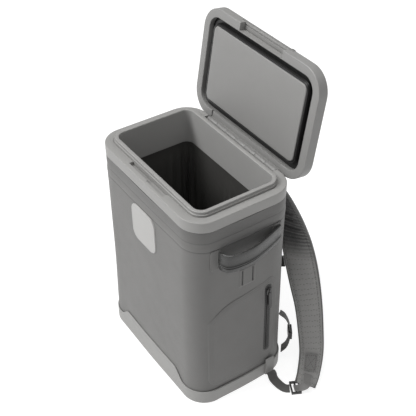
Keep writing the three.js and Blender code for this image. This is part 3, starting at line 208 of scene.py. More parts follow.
class Outline:
    """A rounded rectangle as points with outward normals, counter-clockwise from the right side's middle."""

    def __init__(self, half_w, half_d, corner, bow=0.0, arc=12, side=24):
        rows = []
        for turn in range(4):
            out, flat = (half_w, half_d - corner) if turn % 2 == 0 else (half_d, half_w - corner)
            for i in range(side):
                t = -1 + 2 * i / side
                spot = rotate_quarter(out + bow * crown_share(t), flat * t, turn)
                rows.append((*spot, *rotate_quarter(1, 0, turn), turn, t))
            for i in range(arc):
                angle = math.pi / 2 * i / arc
                c, s = math.cos(angle), math.sin(angle)
                spot = rotate_quarter(out - corner + corner * c, flat + corner * s, turn)
                rows.append((*spot, *rotate_quarter(c, s, turn), turn, 1 + i / arc))
        table = np.array(rows)
        self.x, self.y, self.nx, self.ny, self.side, self.along = table.T

    def ring(self, z, push=0.0):
        x = self.x + self.nx * push
        y = self.y + self.ny * push
        return np.column_stack([x, y, np.broadcast_to(z, x.shape)])


# Making objects


def shade(mesh, sharp_deg=35):
    mesh.polygons.foreach_set("use_smooth", [True] * len(mesh.polygons))
    mesh.set_sharp_from_angle(angle=math.radians(sharp_deg))


def new_object(name, vertices, faces, uvs, sharp_deg):
    mesh = bpy.data.meshes.new(name)
    mesh.from_pydata([tuple(v) for v in np.asarray(vertices) * MM], [], faces)
    layer = mesh.uv_layers.new(name="cloth")
    layer.data.foreach_set("uv", np.array([c for face in uvs for c in face], float).ravel() * MM)
    mesh.update()
    work = bmesh.new()
    work.from_mesh(mesh)
    bmesh.ops.recalc_face_normals(work, faces=work.faces)
    work.to_mesh(mesh)
    work.free()
    shade(mesh, sharp_deg)
    return link_new(name, mesh)


def from_bmesh(name, work):
    mesh = bpy.data.meshes.new(name)
    work.to_mesh(mesh)
    work.free()
    shade(mesh)
    return link_new(name, mesh)


def loft(name, rings, looped=False, caps=(0, -1), sharp_deg=35):
    """Joins rings of equal count into one mesh, end to end in a loop or with flat caps on the named rings."""
    rings = [np.asarray(r, float) for r in rings]
    count = len(rings[0])
    around = np.linalg.norm(np.diff(np.vstack([rings[0], rings[0][:1]]), axis=0), axis=1)
    u = np.concatenate([[0], np.cumsum(around)])
    v = [0.0]
    for a, b in zip(rings, rings[1:] + rings[:1]):
        v.append(v[-1] + float(np.mean(np.linalg.norm(b - a, axis=1))))
    faces, uvs = [], []
    for r in range(len(rings) if looped else len(rings) - 1):
        a, b = r * count, ((r + 1) % len(rings)) * count
        for i in range(count):
            j = (i + 1) % count
            faces.append((a + i, a + j, b + j, b + i))
            uvs.append(((u[i], v[r]), (u[i + 1], v[r]), (u[i + 1], v[r + 1]), (u[i], v[r + 1])))
    if not looped:
        for row in caps:
            start = (row % len(rings)) * count
            faces.append([start + i for i in range(count)])
            uvs.append([(p[0], p[1]) for p in rings[row]])
    return new_object(name, np.vstack(rings), faces, uvs, sharp_deg)


def grid(name, points, uv, sharp_deg):
    """A sheet from a grid of points, row by row, with uv as a grid of pairs."""
    rows, columns, _ = points.shape
    faces, uvs = [], []
    for r in range(rows - 1):
        for c in range(columns - 1):
            corners = [(r, c), (r, c + 1), (r + 1, c + 1), (r + 1, c)]
            faces.append([a * columns + b for a, b in corners])
            uvs.append([tuple(uv[a, b]) for a, b in corners])
    return new_object(name, points.reshape(-1, 3), faces, uvs, sharp_deg)


def round_edges(work, edges, width):
    bmesh.ops.bevel(work, geom=edges, offset=width * MM, segments=2, affect="EDGES", profile=0.5)


def box(low, high, round_by=0.0):
    work = bmesh.new()
    bmesh.ops.create_cube(work, size=1)
    low, high = np.array(low, float), np.array(high, float)
    for v in work.verts:
        v.co = Vector((low + (np.array(v.co) + 0.5) * (high - low)) * MM)
    if round_by:
        round_edges(work, list(work.edges), round_by)
    return from_bmesh("box", work)


def knuckle(from_x, to_x):
    """A short rod round the hinge axis, with rounded rims."""
    work = bmesh.new()
    size = dict(radius1=HINGE_RADIUS * MM, radius2=HINGE_RADIUS * MM, depth=(to_x - from_x) * MM)
    bmesh.ops.create_cone(work, cap_ends=True, segments=40, **size)
    round_edges(work, [e for e in work.edges if abs(e.verts[0].co.z - e.verts[1].co.z) < 1e-7], 0.4)
    place = Matrix.Translation(Vector(((from_x + to_x) / 2, hinge_y, hinge_z)) * MM)
    bmesh.ops.transform(work, matrix=place @ Matrix.Rotation(math.pi / 2, 4, "Y"), verts=work.verts)
    return from_bmesh("knuckle", work)


def run_along_x(name, profile, half):
    """A closed profile of y and z run along X, equally far to both sides."""
    return loft(name, [np.column_stack([np.full(len(profile), x), profile]) for x in (-half, half)])


def bake(obj):
    """Applies an object's modifiers to its mesh."""
    bpy.context.view_layer.update()
    evaluated = obj.evaluated_get(bpy.context.evaluated_depsgraph_get())
    mesh = bpy.data.meshes.new_from_object(evaluated)
    obj.modifiers.clear()
    obj.data = mesh
    shade(mesh)
    return obj


def carve(obj, cutters):
    for cutter in cutters:
        change = obj.modifiers.new("cut", "BOOLEAN")
        change.operation = "DIFFERENCE"
        change.solver = "EXACT"
        change.object = cutter
    bake(obj)
    for cutter in cutters:
        bpy.data.objects.remove(cutter)
    return obj


def soften(obj, width, segments=2):
    """Rounds the edges that turn by more than 40 degrees."""
    change = obj.modifiers.new("soften", "BEVEL")
    change.width = width * MM
    change.segments = segments
    change.limit_method = "ANGLE"
    change.angle_limit = math.radians(40)
    change.use_clamp_overlap = True
    return bake(obj)


def merge(name, objects):
    work = bmesh.new()
    for obj in objects:
        work.from_mesh(obj.data)
        bpy.data.objects.remove(obj)
    return from_bmesh(name, work)


def mirrored(obj, name):
    mesh = obj.data.copy()
    mesh.transform(Matrix.Scale(-1, 4, (1, 0, 0)))
    mesh.flip_normals()
    return link_new(name, mesh)


def settle(obj, finish, *replaces, body="pack"):
    """Gives a piece its finish's material and its body, and hides the solids that it stands for."""
    slot, material = finish
    if material:
        obj.data.materials.clear()
        obj.data.materials.append(material)
    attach(obj, body)
    if replaces:
        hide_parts(*replaces)
    return obj


# Materials


class Paint:
    """Builds one procedural material."""

    def __init__(self, name, color, roughness, **more):
        self.material = bpy.data.materials.new(name)
        self.material.use_nodes = True
        tree = self.material.node_tree
        self.nodes, self.links = tree.nodes, tree.links
        self.shader = self.nodes["Principled BSDF"]
        self.color = color
        self.fill(self.shader, Base_Color=(*color, 1), Roughness=roughness, Sheen_Roughness=0.6, **more)
        self.where = self.nodes.new("ShaderNodeTexCoord")
        self.normal = self.tint = self.scaled = None

    def feed(self, socket, value):
        if hasattr(value, "is_output"):
            self.links.new(value, socket)
        else:
            socket.default_value = value

    def fill(self, node, **inputs):
        """Feeds a node's sockets, which are named, or counted as in _3."""
        for key, value in inputs.items():
            self.feed(node.inputs[int(key[1:]) if key[0] == "_" else key.replace("_", " ")], value)
        return node

    def node(self, kind, **inputs):
        return self.fill(self.nodes.new("ShaderNode" + kind), **inputs)

    def math(self, operation, *values):
        made = self.node("Math")
        made.operation = operation
        for socket, value in zip(made.inputs, values):
            self.feed(socket, value)
        return made.outputs[0]

    def noise(self, per_metre, detail=3.0):
        place = self.where.outputs["Object"]
        return self.node("TexNoise", Vector=place, Scale=per_metre, Detail=detail).outputs["Fac"]

    def raise_by(self, height, depth_mm, strength=1.0):
        """Bumps the surface by a height from 0 to 1."""
        made = self.node("Bump", Height=height, Distance=depth_mm * MM, Strength=strength)
        if self.normal is not None:
            self.feed(made.inputs["Normal"], self.normal)
        self.normal = made.outputs["Normal"]
        self.feed(self.shader.inputs["Normal"], self.normal)
        return self

    def grain(self, per_metre, depth_mm):
        return self.raise_by(self.noise(per_metre, 2.0), depth_mm)

    def ramp(self, value, low, high):
        return self.node("MapRange", _0=value, _3=low, _4=high).outputs[0]

    def share(self, value, start, end):
        """How far a value is from the start to the end, from 0 to 1."""
        return self.node("MapRange", _0=value, _1=start, _2=end).outputs[0]

    def vary(self, factor, low, high):
        """Multiplies the colour between low and high by a factor from 0 to 1."""
        ramp = self.ramp(factor, low, high)
        self.tint = ramp if self.tint is None else self.math("MULTIPLY", self.tint, ramp)
        if self.scaled is None:
            self.scaled = self.node("VectorMath", _0=self.color)
            self.scaled.operation = "SCALE"
            self.feed(self.shader.inputs["Base Color"], self.scaled.outputs[0])
        self.feed(self.scaled.inputs["Scale"], self.tint)
        return self

    def rough(self, factor, low, high):
        self.feed(self.shader.inputs["Roughness"], self.ramp(factor, low, high))
        return self

    def place(self, space="Object"):
        return self.node("SeparateXYZ", Vector=self.where.outputs[space]).outputs

    def uv(self, across_mm, along_mm):
        """UV position counted in cells of the given size."""
        place = self.place("UV")
        return [self.math("MULTIPLY", place[i], 1 / (mm * MM)) for i, mm in enumerate((across_mm, along_mm))]

    def wave(self, phase):
        """A wave from 0 to 1 with one crest for each whole number."""
        turned = self.math("MULTIPLY", phase, 2 * math.pi)
        return self.math("MULTIPLY_ADD", self.math("COSINE", turned), 0.5, 0.5)

    def offset_rows(self, row, along):
        """Moves every other row along by half a cell."""
        odd = self.math("MODULO", self.math("FLOOR", row), 2.0)
        return self.wave(self.math("MULTIPLY_ADD", odd, 0.5, along))

    def weave(self, across_mm, along_mm):
        """Crossing threads, as a height from 0 to 1."""
        u, v = self.uv(across_mm, along_mm)
        thread = self.math("ABSOLUTE", self.math("SINE", self.math("MULTIPLY", u, math.pi)))
        return self.math("MULTIPLY", self.offset_rows(u, v), thread)


SEAMS = (384.8, 403.8)  # heights of the two welded seams below the collar
RIB_PITCH = 9.5  # of the ribs across the upper half of the straps
RIBBED_FROM, RIBBED_TO = 0.212, 0.262  # heights in metres between which the strap's ribs come in, and with them the painted shade between the ribs and the painted shadow over the strap's top
SHADED_FROM, SHADED_TO = 0.130, 0.106  # distances from the middle between which the painted shadow on the top's inner side comes in


def coated_fabric(name, seamed=False):
    """The body's fabric; the seamed one has its welded seams, and the band between them and the collar
    painted darker as painted shade under the collar.
    """
    paint = Paint(name, (0.118, 0.116, 0.112), 0.62, Sheen_Weight=0.12)
    paint.raise_by(paint.weave(1.1, 1.1), 0.05)
    paint.grain(900, 0.06)
    paint.raise_by(paint.noise(14, 2.0), 1.2, 0.6)
    paint.vary(paint.noise(9), 0.94, 1.06).vary(paint.noise(700, 1.0), 0.93, 1.07)
    paint.rough(paint.noise(40, 2.0), 0.55, 0.72)
    if seamed:
        height = paint.place()[2]
        for seam in SEAMS:
            paint.vary(paint.math("COMPARE", height, seam * MM, 1.2 * MM), 1.0, 0.76)
        # Painted shade under the collar's overhang: the band above the upper seam is darker.
        paint.vary(paint.math("GREATER_THAN", height, SEAMS[1] * MM), 1.0, 0.84)
    return paint.material


def moulded(name, color, roughness=0.45):
    paint = Paint(name, color, roughness)
    paint.grain(1600, 0.04)
    paint.vary(paint.noise(16), 0.96, 1.04).vary(paint.noise(1100, 1.0), 0.96, 1.04)
    return paint.rough(paint.noise(60), roughness - 0.06, roughness + 0.08).material


def webbing_cloth(name, color):
    paint = Paint(name, color, 0.75, Sheen_Weight=0.2)
    weave = paint.weave(1.3, 1.7)
    paint.raise_by(weave, 0.3).grain(1400, 0.05)
    return paint.vary(weave, 0.72, 1.12).vary(paint.noise(60, 2.0), 0.9, 1.08).material


def glossy_webbing(name, color):
    """Webbing with a smooth coated face, as on the carrying handles."""
    paint = Paint(name, color, 0.3, Specular_IOR_Level=0.65)
    weave = paint.weave(1.3, 1.7)
    paint.raise_by(weave, 0.08).grain(900, 0.03)
    paint.vary(weave, 0.85, 1.1).vary(paint.noise(40, 2.0), 0.9, 1.1)
    return paint.rough(paint.noise(80, 2.0), 0.22, 0.34).material


def strap_cloth(name, color):
    """Spacer mesh with dimples in offset rows and ribs at the top, with painted shade in the dimples and
    between the ribs, and a painted shadow darkening the top, most of all its inner side.
    """
    paint = Paint(name, color, 0.85, Sheen_Weight=0.25)
    u, v = paint.uv(12.0, 11.0)
    dimples = paint.math("POWER", paint.math("MULTIPLY", paint.offset_rows(v, u), paint.wave(v)), 9.0)
    paint.raise_by(paint.math("SUBTRACT", 1.0, dimples), 0.9).grain(1300, 0.08)
    place = paint.place()
    upper = paint.share(place[2], RIBBED_FROM, RIBBED_TO)
    # Painted shade: the dimples are painted dark below the ribbed top.
    paint.vary(paint.math("MULTIPLY", dimples, paint.math("SUBTRACT", 1.0, upper)), 1.0, 0.2)
    # Painted shade in the channels between the ribs, and a painted shadow over the whole ribbed top.
    channel_shade = paint.math("SUBTRACT", 1.0, paint.wave(paint.uv(1.0, RIB_PITCH)[1]))
    paint.vary(paint.math("MULTIPLY", channel_shade, upper), 1.0, 0.28).vary(upper, 1.0, 0.72)
    # Painted shadow: the inner side of the ribbed top, near the body, is painted much darker.
    inner = paint.share(paint.math("ABSOLUTE", place[0]), SHADED_FROM, SHADED_TO)
    paint.vary(paint.math("MULTIPLY", inner, upper), 1.0, 0.14)
    return paint.vary(paint.noise(30, 2.0), 0.9, 1.08).material


def film(name, color):
    paint = Paint(name, color, 0.4)
    paint.grain(500, 0.05).raise_by(paint.noise(45), 0.8, 0.7)
    paint.vary(paint.noise(20, 2.0), 0.9, 1.1)
    return paint.rough(paint.noise(50, 2.0), 0.28, 0.46).material


def metal(name, color):
    paint = Paint(name, color, 0.35, Metallic=0.9)
    return paint.grain(1200, 0.03).rough(paint.noise(300, 2.0), 0.28, 0.45).material


# Each finish is a slot's name and a material; LIT_INNER_WALL and STEEL are materials alone
SHELL = "shell_fabric", coated_fabric("shell_fabric")
SKIN = "shell_fabric", coated_fabric("body_fabric", seamed=True)
RIM = "rim_plastic", moulded("rim_plastic", (0.250, 0.247, 0.240))
BASE = "base_rubber", moulded("base_rubber", (0.262, 0.259, 0.252), 0.55)
LID = "lid_plastic", moulded("lid_plastic", (0.208, 0.206, 0.201))
PANEL = "panel_plastic", moulded("panel_plastic", (0.212, 0.210, 0.205), 0.5)
# The inner wall's plastic is painted lighter than the rim's, as painted light inside the opening.
LIT_INNER_WALL = moulded("inner_wall_painted_light", (0.315, 0.312, 0.305), 0.5)
BADGE = "badge_rubber", moulded("badge_rubber", (0.365, 0.361, 0.353), 0.5)
SEAL = "seal_rubber", moulded("seal_rubber", (0.006, 0.006, 0.006), 0.36)
BAG = "liner_film", film("liner_film", (0.055, 0.054, 0.051))
WEB = "webbing_fabric", webbing_cloth("webbing_fabric", (0.125, 0.123, 0.119))
GRIP = "webbing_fabric", glossy_webbing("grip_webbing", (0.020, 0.020, 0.019))
STRAP_WEB = "webbing_fabric", webbing_cloth("strap_webbing", (0.215, 0.212, 0.206))
TAPE = "webbing_fabric", webbing_cloth("zip_tape_cloth", (0.020, 0.020, 0.019))
MESH = "strap_mesh", strap_cloth("strap_mesh", (0.265, 0.262, 0.255))
DARK = "hardware_plastic", moulded("hardware_plastic", (0.030, 0.029, 0.028), 0.3)
THREAD = "webbing_fabric", moulded("thread", (0.035, 0.034, 0.032), 0.7)
STEEL = metal("pin_steel", (0.62, 0.62, 0.62))

# The soft body's outside, which the patches and handles sit on

BULGES = {
    "height": (0, 0.14, 0.24, 0.4, 0.6, 0.78, 0.9, 0.95, 1),
    "side": (1, 1, 0.75, 0.35, 0.06, 0.14, 0.34, 0.42, 0.12),
    "front": (0.3, 0.3, 0.25, 0.12, 0.04, 0.14, 0.34, 0.42, 0.12),
}


def body_bulge(z):
    at = min(1.0, max(0.0, z / band_bottom))
    return tuple(BODY_BULGE * read_table(BULGES["height"], BULGES[c], at) for c in ("side", "front"))


def body_outline(z, push=0.0):
    side, front = body_bulge(z)
    return Outline(half_x + side + push, half_y + front + push, BODY_CORNER + push, BODY_CROWN)


FACES = {"right": 0, "back": 1, "left": 2, "front": 3}


def on_body(face, u, z, over):
    """A point over the body's outside: u runs round the body from the middle of the named side."""
    turn = FACES[face]
    side, front = body_bulge(z)
    out, other = (half_x + side, half_y + front) if turn % 2 == 0 else (half_y + front, half_x + side)
    flat = other - BODY_CORNER
    past = max(0.0, abs(u) - flat)
    angle = min(math.pi / 2, past / BODY_CORNER)
    radius = BODY_CORNER + over
    away = out - BODY_CORNER + radius * math.cos(angle) + BODY_CROWN * crown_share(u / flat)
    along = math.copysign(min(abs(u), flat) + radius * math.sin(angle), u)
    x, y = rotate_quarter(away, along, turn)
    return np.array([x, y, z])


def opening(push=0.0, arc=12, side=24):
    return Outline(wall_x + push, wall_y + push, OPENING_CORNER + push, 0.0, arc, side)


def round_rows(radius, steps):
    angles = [math.pi / 2 * i / steps for i in range(steps + 1)]
    return [(radius * (1 - math.sin(a)), radius * (1 - math.cos(a))) for a in angles]


def seam_profile(z):
    """How far the skin stands in or out near its welded seams."""
    valley = -0.9 * bump_at(z, SEAMS[1], 9.0) - 0.5 * bump_at(z, SEAMS[1], 1.4)
    return valley - 0.75 * bump_at(z, SEAMS[0], 1.5) + 0.35 * bump_at(z, 394, 5.0)


def body_skin():
    rings = []
    for inset, rise in round_rows(8, 5):
        rings.append(body_outline(body_bottom).ring(body_bottom + rise, -inset))
    heights = list(np.arange(16, 376, 6.0)) + list(np.arange(376, 427, 1.0)) + [band_bottom - GAP]
    for z in heights:
        shape = body_outline(z)
        sway = 0.35 * np.sin(z / 41 + 1.7 * shape.along + 2.1 * shape.side)
        fade = smooth(z / 60) * smooth((band_bottom - z) / 40)
        rings.append(shape.ring(z, seam_profile(z) + sway * fade))
    inside = LINER_WALL + GAP
    rings.append(opening(inside).ring(band_bottom - GAP))
    rings.append(opening(inside).ring(bag_floor - 1))
    return loft("body_skin", rings)


FOLDS = (
    # side, along, width, depth, lean
    (1, -0.05, 0.05, 0.55, 0.02),
    (1, 0.08, 0.05, 0.4, 0.0),
    (1, 0.62, 0.2, 0.5, -0.1),
    (1, 0.93, 0.07, 0.5, -0.1),
    (1, 1.12, 0.12, 0.9, 0.12),
    (1, 1.36, 0.09, 1.5, 0.1),
    (1, 1.72, 0.1, 1.2, -0.15),
    (2, -0.9, 0.08, 0.8, 0.12),
    (2, -0.62, 0.1, 0.75, 0.25),
    (2, -0.3, 0.15, 0.45, 0.3),
    (2, 0.4, 0.3, 0.5, -0.1),
    (2, 1.4, 0.3, 0.9, 0.0),
    (3, 0.1, 0.25, 0.5, 0.1),
    (3, 1.4, 0.3, 0.9, 0.0),
    (0, 0.1, 0.35, 0.5, 0.0),
    (0, 1.4, 0.3, 0.9, 0.0),
)


def liner_bag():
    outside = LINER_WALL - 0.2
    top, bottom = LINER_SEAM_Z - GAP, bag_floor + GAP
    push = outside - BAG_THICKNESS

    def fold(shape, level):
        hang = math.sin(math.pi * min(1.0, level * 1.05)) ** 0.6
        depth = np.full(len(shape.x), 0.1)
        for side, along, width, size, lean in FOLDS:
            off = shape.along - along - lean * (1 - level)
            depth += (shape.side == side) * size * bump_at(off, 0, width * (1.25 - 0.3 * level))
        return -BAG_FOLD * hang * np.minimum(1.5, depth)

    wall = opening(push, 16, 72)
    rings = [wall.ring(top + 0.2)]
    for level in np.linspace(0.985, 0.1, 46):
        rings.append(wall.ring(mix(bottom, top, level), fold(wall, level)))
    for inset, rise in reversed(round_rows(14, 5)):
        rings.append(wall.ring(bottom + BAG_THICKNESS + rise, -inset))
    return loft("liner_bag", rings, caps=(-1,))


def arc_rows(centre, radius, from_deg, to_deg, steps):
    angles = np.radians(np.linspace(from_deg, to_deg, steps + 1))
    return [(centre[0] + radius * math.cos(a), centre[1] + radius * math.sin(a)) for a in angles]


def arc_rings(outline, *arc):
    """Rings along an arc: each row's first number pushes the outline out and its second is the height."""
    return [outline(away).ring(z) for away, z in arc_rows(*arc)]


# The groove at the foot of the sealing lip: steps away from the lip and heights over the ledge
GROOVE = ((0, 0.3), (0.1, -1.1), (1.4, -1.1), (1.6, -0.2), (2.0, 0))
# The latch's pocket in the ledge and the wider shelf beside it: length, shift, width and depth
LEDGE_RECESSES = ((114.0, 0.0, 8.9, 7.0), (57.0, 33.5, 11.4, 2.5))
HINGE_WELL = (3.8, 0.8)  # room behind and below the hinge


def ledge_recess(length, shift, width, depth):
    back = -wall_y - LIP_WIDTH - LIP_STEP - SEAL_CLEARANCE
    low = (shift - length / 2, back - width, RIM_TOP - depth)
    return box(low, (shift + length / 2, back, RIM_TOP + 1))


def collar_outline(push):
    return Outline(collar_x + push, collar_y + push, lid_corner + push)


def rim():
    lip, step, edge, foot = 1.5, 0.7, 1.7, 1.4  # radii of the lip, its step and the band's two edges
    ledge = LIP_WIDTH + LIP_STEP
    rings = [opening().ring(z) for z in (LINER_SEAM_Z, LINER_SEAM_Z + 0.8, lip_top - 5)]
    rings += arc_rings(opening, (lip, lip_top - lip), lip, 180, 90, 5)
    rings += arc_rings(opening, (LIP_WIDTH - lip, lip_top - lip), lip, 90, 0, 5)
    rings.append(opening(LIP_WIDTH).ring(RIM_TOP + 3.9))
    rings += arc_rings(opening, (ledge - step, RIM_TOP + 3.2 - step), step, 90, 0, 3)
    rings += [opening(ledge + away).ring(RIM_TOP + rise) for away, rise in GROOVE]
    rings.append(collar_outline(-4).ring(RIM_TOP))
    rings += arc_rings(collar_outline, (-edge, RIM_TOP - edge), edge, 90, 0, 8)
    rings.append(collar_outline(0).ring(mix(band_bottom, RIM_TOP, 0.5)))
    rings += arc_rings(collar_outline, (-foot, band_bottom + foot), foot, 0, -90, 4)
    rings += [opening(LINER_WALL).ring(z) for z in (band_bottom, LINER_SEAM_Z)]
    half = HINGE_LENGTH / 2 + 2
    low = (-half, hinge_y - HINGE_RADIUS - HINGE_WELL[0], hinge_z - HINGE_RADIUS - HINGE_WELL[1])
    hinge_well = box(low, (half, collar_y + 5, RIM_TOP + 5))
    collar = loft("rim", rings, looped=True)
    carve(collar, [hinge_well] + [ledge_recess(*recess) for recess in LEDGE_RECESSES])
    collar.data.materials.clear()
    for material in (RIM[1], LIT_INNER_WALL):
        collar.data.materials.append(material)
    return collar


def paint_inner_wall(collar):
    """The rigid wall inside the opening gets a smooth moulding painted lighter than the rim's, as painted
    light inside the opening.
    """
    for face in collar.data.polygons:
        c = face.center / MM
        if abs(c.x) < wall_x + 0.4 and abs(c.y) < wall_y + 0.4 and c.z < lip_top - 2.2:
            face.material_index = 1
    return collar


def base():
    side, front = body_bulge(body_bottom)
    wide, deep = half_x + side + GAP, half_y + front + GAP
    outer = Outline(wide + TRAY_SIDE, deep + TRAY_FRONT, BODY_CORNER + TRAY_SIDE, BODY_CROWN, 24, 64)
    inner = Outline(wide, deep, BODY_CORNER + GAP, BODY_CROWN, 24, 64)
    is_front = (outer.side == 3) | ((outer.side == 2) & (outer.along > 1))
    past = (np.abs(outer.x) - TRAY_LIP_HALF) / TRAY_LIP_RUN
    top = np.where(is_front, TRAY_TOP + TRAY_LIP_RISE * (1 - smooth(past)), TRAY_TOP)
    foot, edge = 3.0, 1.0
    rings = [outer.ring(0.0, -foot)]
    rings += [outer.ring(z, away) for away, z in arc_rows((-foot, foot), foot, -90, 0, 6)]
    rings += [outer.ring(foot + (top - foot - 1.2) * level) for level in (0.35, 0.7)]
    rings += [outer.ring(top + z, away) for away, z in arc_rows((-edge, -edge), edge, 0, 90, 4)]
    rings += [inner.ring(top, 0.6), inner.ring(top - 0.5, 0.15), inner.ring(top - 3), inner.ring(20.0)]
    return loft("base", rings)


# Patches that follow the body


def polygon_distance(points, polygon):
    """Distance of points to a polygon's edge."""
    best = np.full(points.shape[:-1], 1e9)
    for a, b in zip(polygon, np.roll(polygon, -1, axis=0)):
        ab = b - a
        t = np.clip(((points - a) @ ab) / max(1e-9, ab @ ab), 0, 1)
        best = np.minimum(best, np.linalg.norm(points - (a + t[..., None] * ab), axis=-1))
    return best


def span_at(polygon, z):
    hits = []
    for a, b in zip(polygon, np.roll(polygon, -1, axis=0)):
        if (a[1] - z) * (b[1] - z) <= 0 and abs(a[1] - b[1]) > 1e-9:
            t = (z - a[1]) / (b[1] - a[1])
            hits.append(a[0] + t * (b[0] - a[0]))
    return min(hits), max(hits)


def patch(name, face, polygon, lift, step=1.5, edge_rows=(0, 0.25, 0.6, 1.1, 1.8, 2.8, 4)):
    """A sheet over the body inside a polygon; lift gives its height from u, z and the edge distance."""
    polygon = np.asarray(polygon, float)
    low, high = polygon[:, 1].min(), polygon[:, 1].max()

    def spaced(a, b):
        length = b - a
        edge = [e for e in edge_rows if e < length * 0.3]
        middle = np.linspace(a + edge[-1], b - edge[-1], max(2, int((length - 2 * edge[-1]) / step)))
        return np.concatenate([[a + e for e in edge[:-1]], middle, [b - e for e in reversed(edge[:-1])]])

    zs = spaced(low + 1e-4, high - 1e-4)
    widest = max(np.ptp(span_at(polygon, z)) for z in zs)
    shares = spaced(0, widest) / widest
    flat = np.zeros((len(zs), len(shares), 2))
    for i, z in enumerate(zs):
        a, b = span_at(polygon, z)
        flat[i, :, 0] = a + (b - a) * shares
        flat[i, :, 1] = z
    depth = polygon_distance(flat, polygon)
    over = lift(flat[..., 0], flat[..., 1], depth)
    points = np.zeros((*depth.shape, 3))
    for i in range(depth.shape[0]):
        for j in range(depth.shape[1]):
            points[i, j] = on_body(face, flat[i, j, 0], flat[i, j, 1], over[i, j])
    return grid(name, points, flat, 50)


def rounded(width, height, corner, centre_u, centre_z, steps=8):
    points = []
    for turn, (sx, sz) in enumerate(((1, 1), (-1, 1), (-1, -1), (1, -1))):
        u, z = centre_u + sx * (width / 2 - corner), centre_z + sz * (height / 2 - corner)
        for i in range(steps + 1):
            angle = math.pi / 2 * (turn + i / steps)
            points.append((u + corner * math.cos(angle), z + corner * math.sin(angle)))
    return np.array(points)


def signed_distance(u, z, polygon, within):
    away = polygon_distance(np.stack([u, z], -1), polygon)
    return np.where(within, -away, away)


def plate_lift(thickness, edge=1.2):
    return lambda u, z, d: -0.3 + (thickness + 0.3) * np.sqrt(1 - (1 - np.clip(d / edge, 0, 1)) ** 2)


BADGE_SHAPE = dict(width=80, height=82, corner=19, centre_u=0, centre_z=342.5)


def badge():
    def lift(u, z, d):
        return plate_lift(2.35, 1.5)(u, z, d) - 0.35 * bump_at(d, 6.0, 0.9)

    return patch("badge", "front", rounded(**BADGE_SHAPE), lift, step=1.0)


POCKET_TOP_EDGE = ((0, 0), (0.1, 0.26), (0.3, 0.6), (0.6, 0.78), (0.8, 0.9), (0.92, 1), (1, 0.62))
POCKET = dict(left=-80.0, right=75.0, bottom=40.0, top=261.0, shoulder=214.0, corner=26.0)
ZIP_Y = 54.0
ZIP_LOW = 70.0
ZIP_LENGTH = 175.0
ZIP_WIDTH = 15.0
TOOTH_PITCH = 1.9
TOOTH = (1.3, 2.4, 1.1)
PULL_LENGTH = 40.0
PULL_LEAN = 3.0

zip_mid = ZIP_LOW + ZIP_LENGTH / 2
slider_z = ZIP_LOW + ZIP_LENGTH - 16
slider_seat = float(on_body("right", ZIP_Y, slider_z, GAP + 2.1)[0])


def pocket_outline():
    p = POCKET
    points = []
    for cu, start in ((p["left"] + p["corner"], math.pi), (p["right"] - p["corner"], 1.5 * math.pi)):
        for i in range(11):
            a = start + math.pi / 2 * i / 10
            points.append((cu + p["corner"] * math.cos(a), p["bottom"] + p["corner"] * (1 + math.sin(a))))
    keys, values = zip(*POCKET_TOP_EDGE)
    for t in np.linspace(1, 0, 30):
        rise = read_table(keys, values, t)
        points.append((mix(p["left"], p["right"], t), mix(p["shoulder"], p["top"], rise)))
    return np.array(points)


def pocket():
    half = ZIP_WIDTH / 2
    slot = rounded(ZIP_WIDTH, ZIP_LENGTH, half - 0.1, ZIP_Y, zip_mid)

    def lift(u, z, d):
        sheet = -0.1 + 1.4 * np.sqrt(1 - (1 - np.clip(d / 7.0, 0, 1)) ** 2)
        sheet = sheet - 0.45 * bump_at(d, 5.0, 0.7) - 0.45 * bump_at(d, 9.0, 0.7)
        past_end = np.maximum(0, np.abs(z - zip_mid) - (ZIP_LENGTH - ZIP_WIDTH) / 2)
        signed = signed_distance(u, z, slot, np.hypot(u - ZIP_Y, past_end) < half)
        return mix(0.35, sheet + 0.5 * bump_at(signed, 1.6, 1.2), smooth((signed + 1.4) / 1.6))

    return patch("pocket", "right", pocket_outline(), lift, step=1.1)


def zip_coil():
    """The zip's two rows of small teeth."""
    low, high = ZIP_LOW + 7, ZIP_LOW + ZIP_LENGTH - 10
    work = bmesh.new()
    for i in range(int((high - low) / TOOTH_PITCH)):
        for side in (-1, 1):
            z = low + TOOTH_PITCH * (i + 0.5 * (side > 0))
            spot = Vector(on_body("right", ZIP_Y + side * 0.9, z, 1.5)) * MM
            part = bmesh.ops.create_cube(work, size=1)["verts"]
            shape = Matrix.Rotation(side * 0.35, 4, "X") @ Matrix.Diagonal((*(s * MM for s in TOOTH), 1))
            bmesh.ops.transform(work, matrix=Matrix.Translation(spot) @ shape, verts=part)
    return from_bmesh("coil", work)


def zip_tape():
    shape = rounded(14.2, 174.2, 7, ZIP_Y, zip_mid)
    return patch("tape", "right", shape, lambda u, z, d: 0.45 + 0.5 * smooth(d / 0.6), step=1.6)


def zip_slider():
    seat = slider_seat + 0.1
    shape = [(-5, -7), (0, -8.5), (5, -7), (5.4, 3), (3, 8), (-3, 8), (-5.4, 3)]
    rings = []
    for over, size in ((0, 0.94), (0.6, 1), (2.4, 1), (3.2, 0.82)):
        rings.append([(seat + over, ZIP_Y + a * size, slider_z + b * size) for a, b in shape])
    body = soften(loft("zip_slider_body", rings), 0.5)
    bridge = box((seat + 2.6, ZIP_Y - 1.3, slider_z - 1), (seat + 5.4, ZIP_Y + 1.3, slider_z + 6), 0.7)
    return merge("slider", [body, bridge])


def squared(s):
    """Draws a sine or cosine towards the corners of a rounded square."""
    return math.copysign(abs(s) ** 0.6, s)


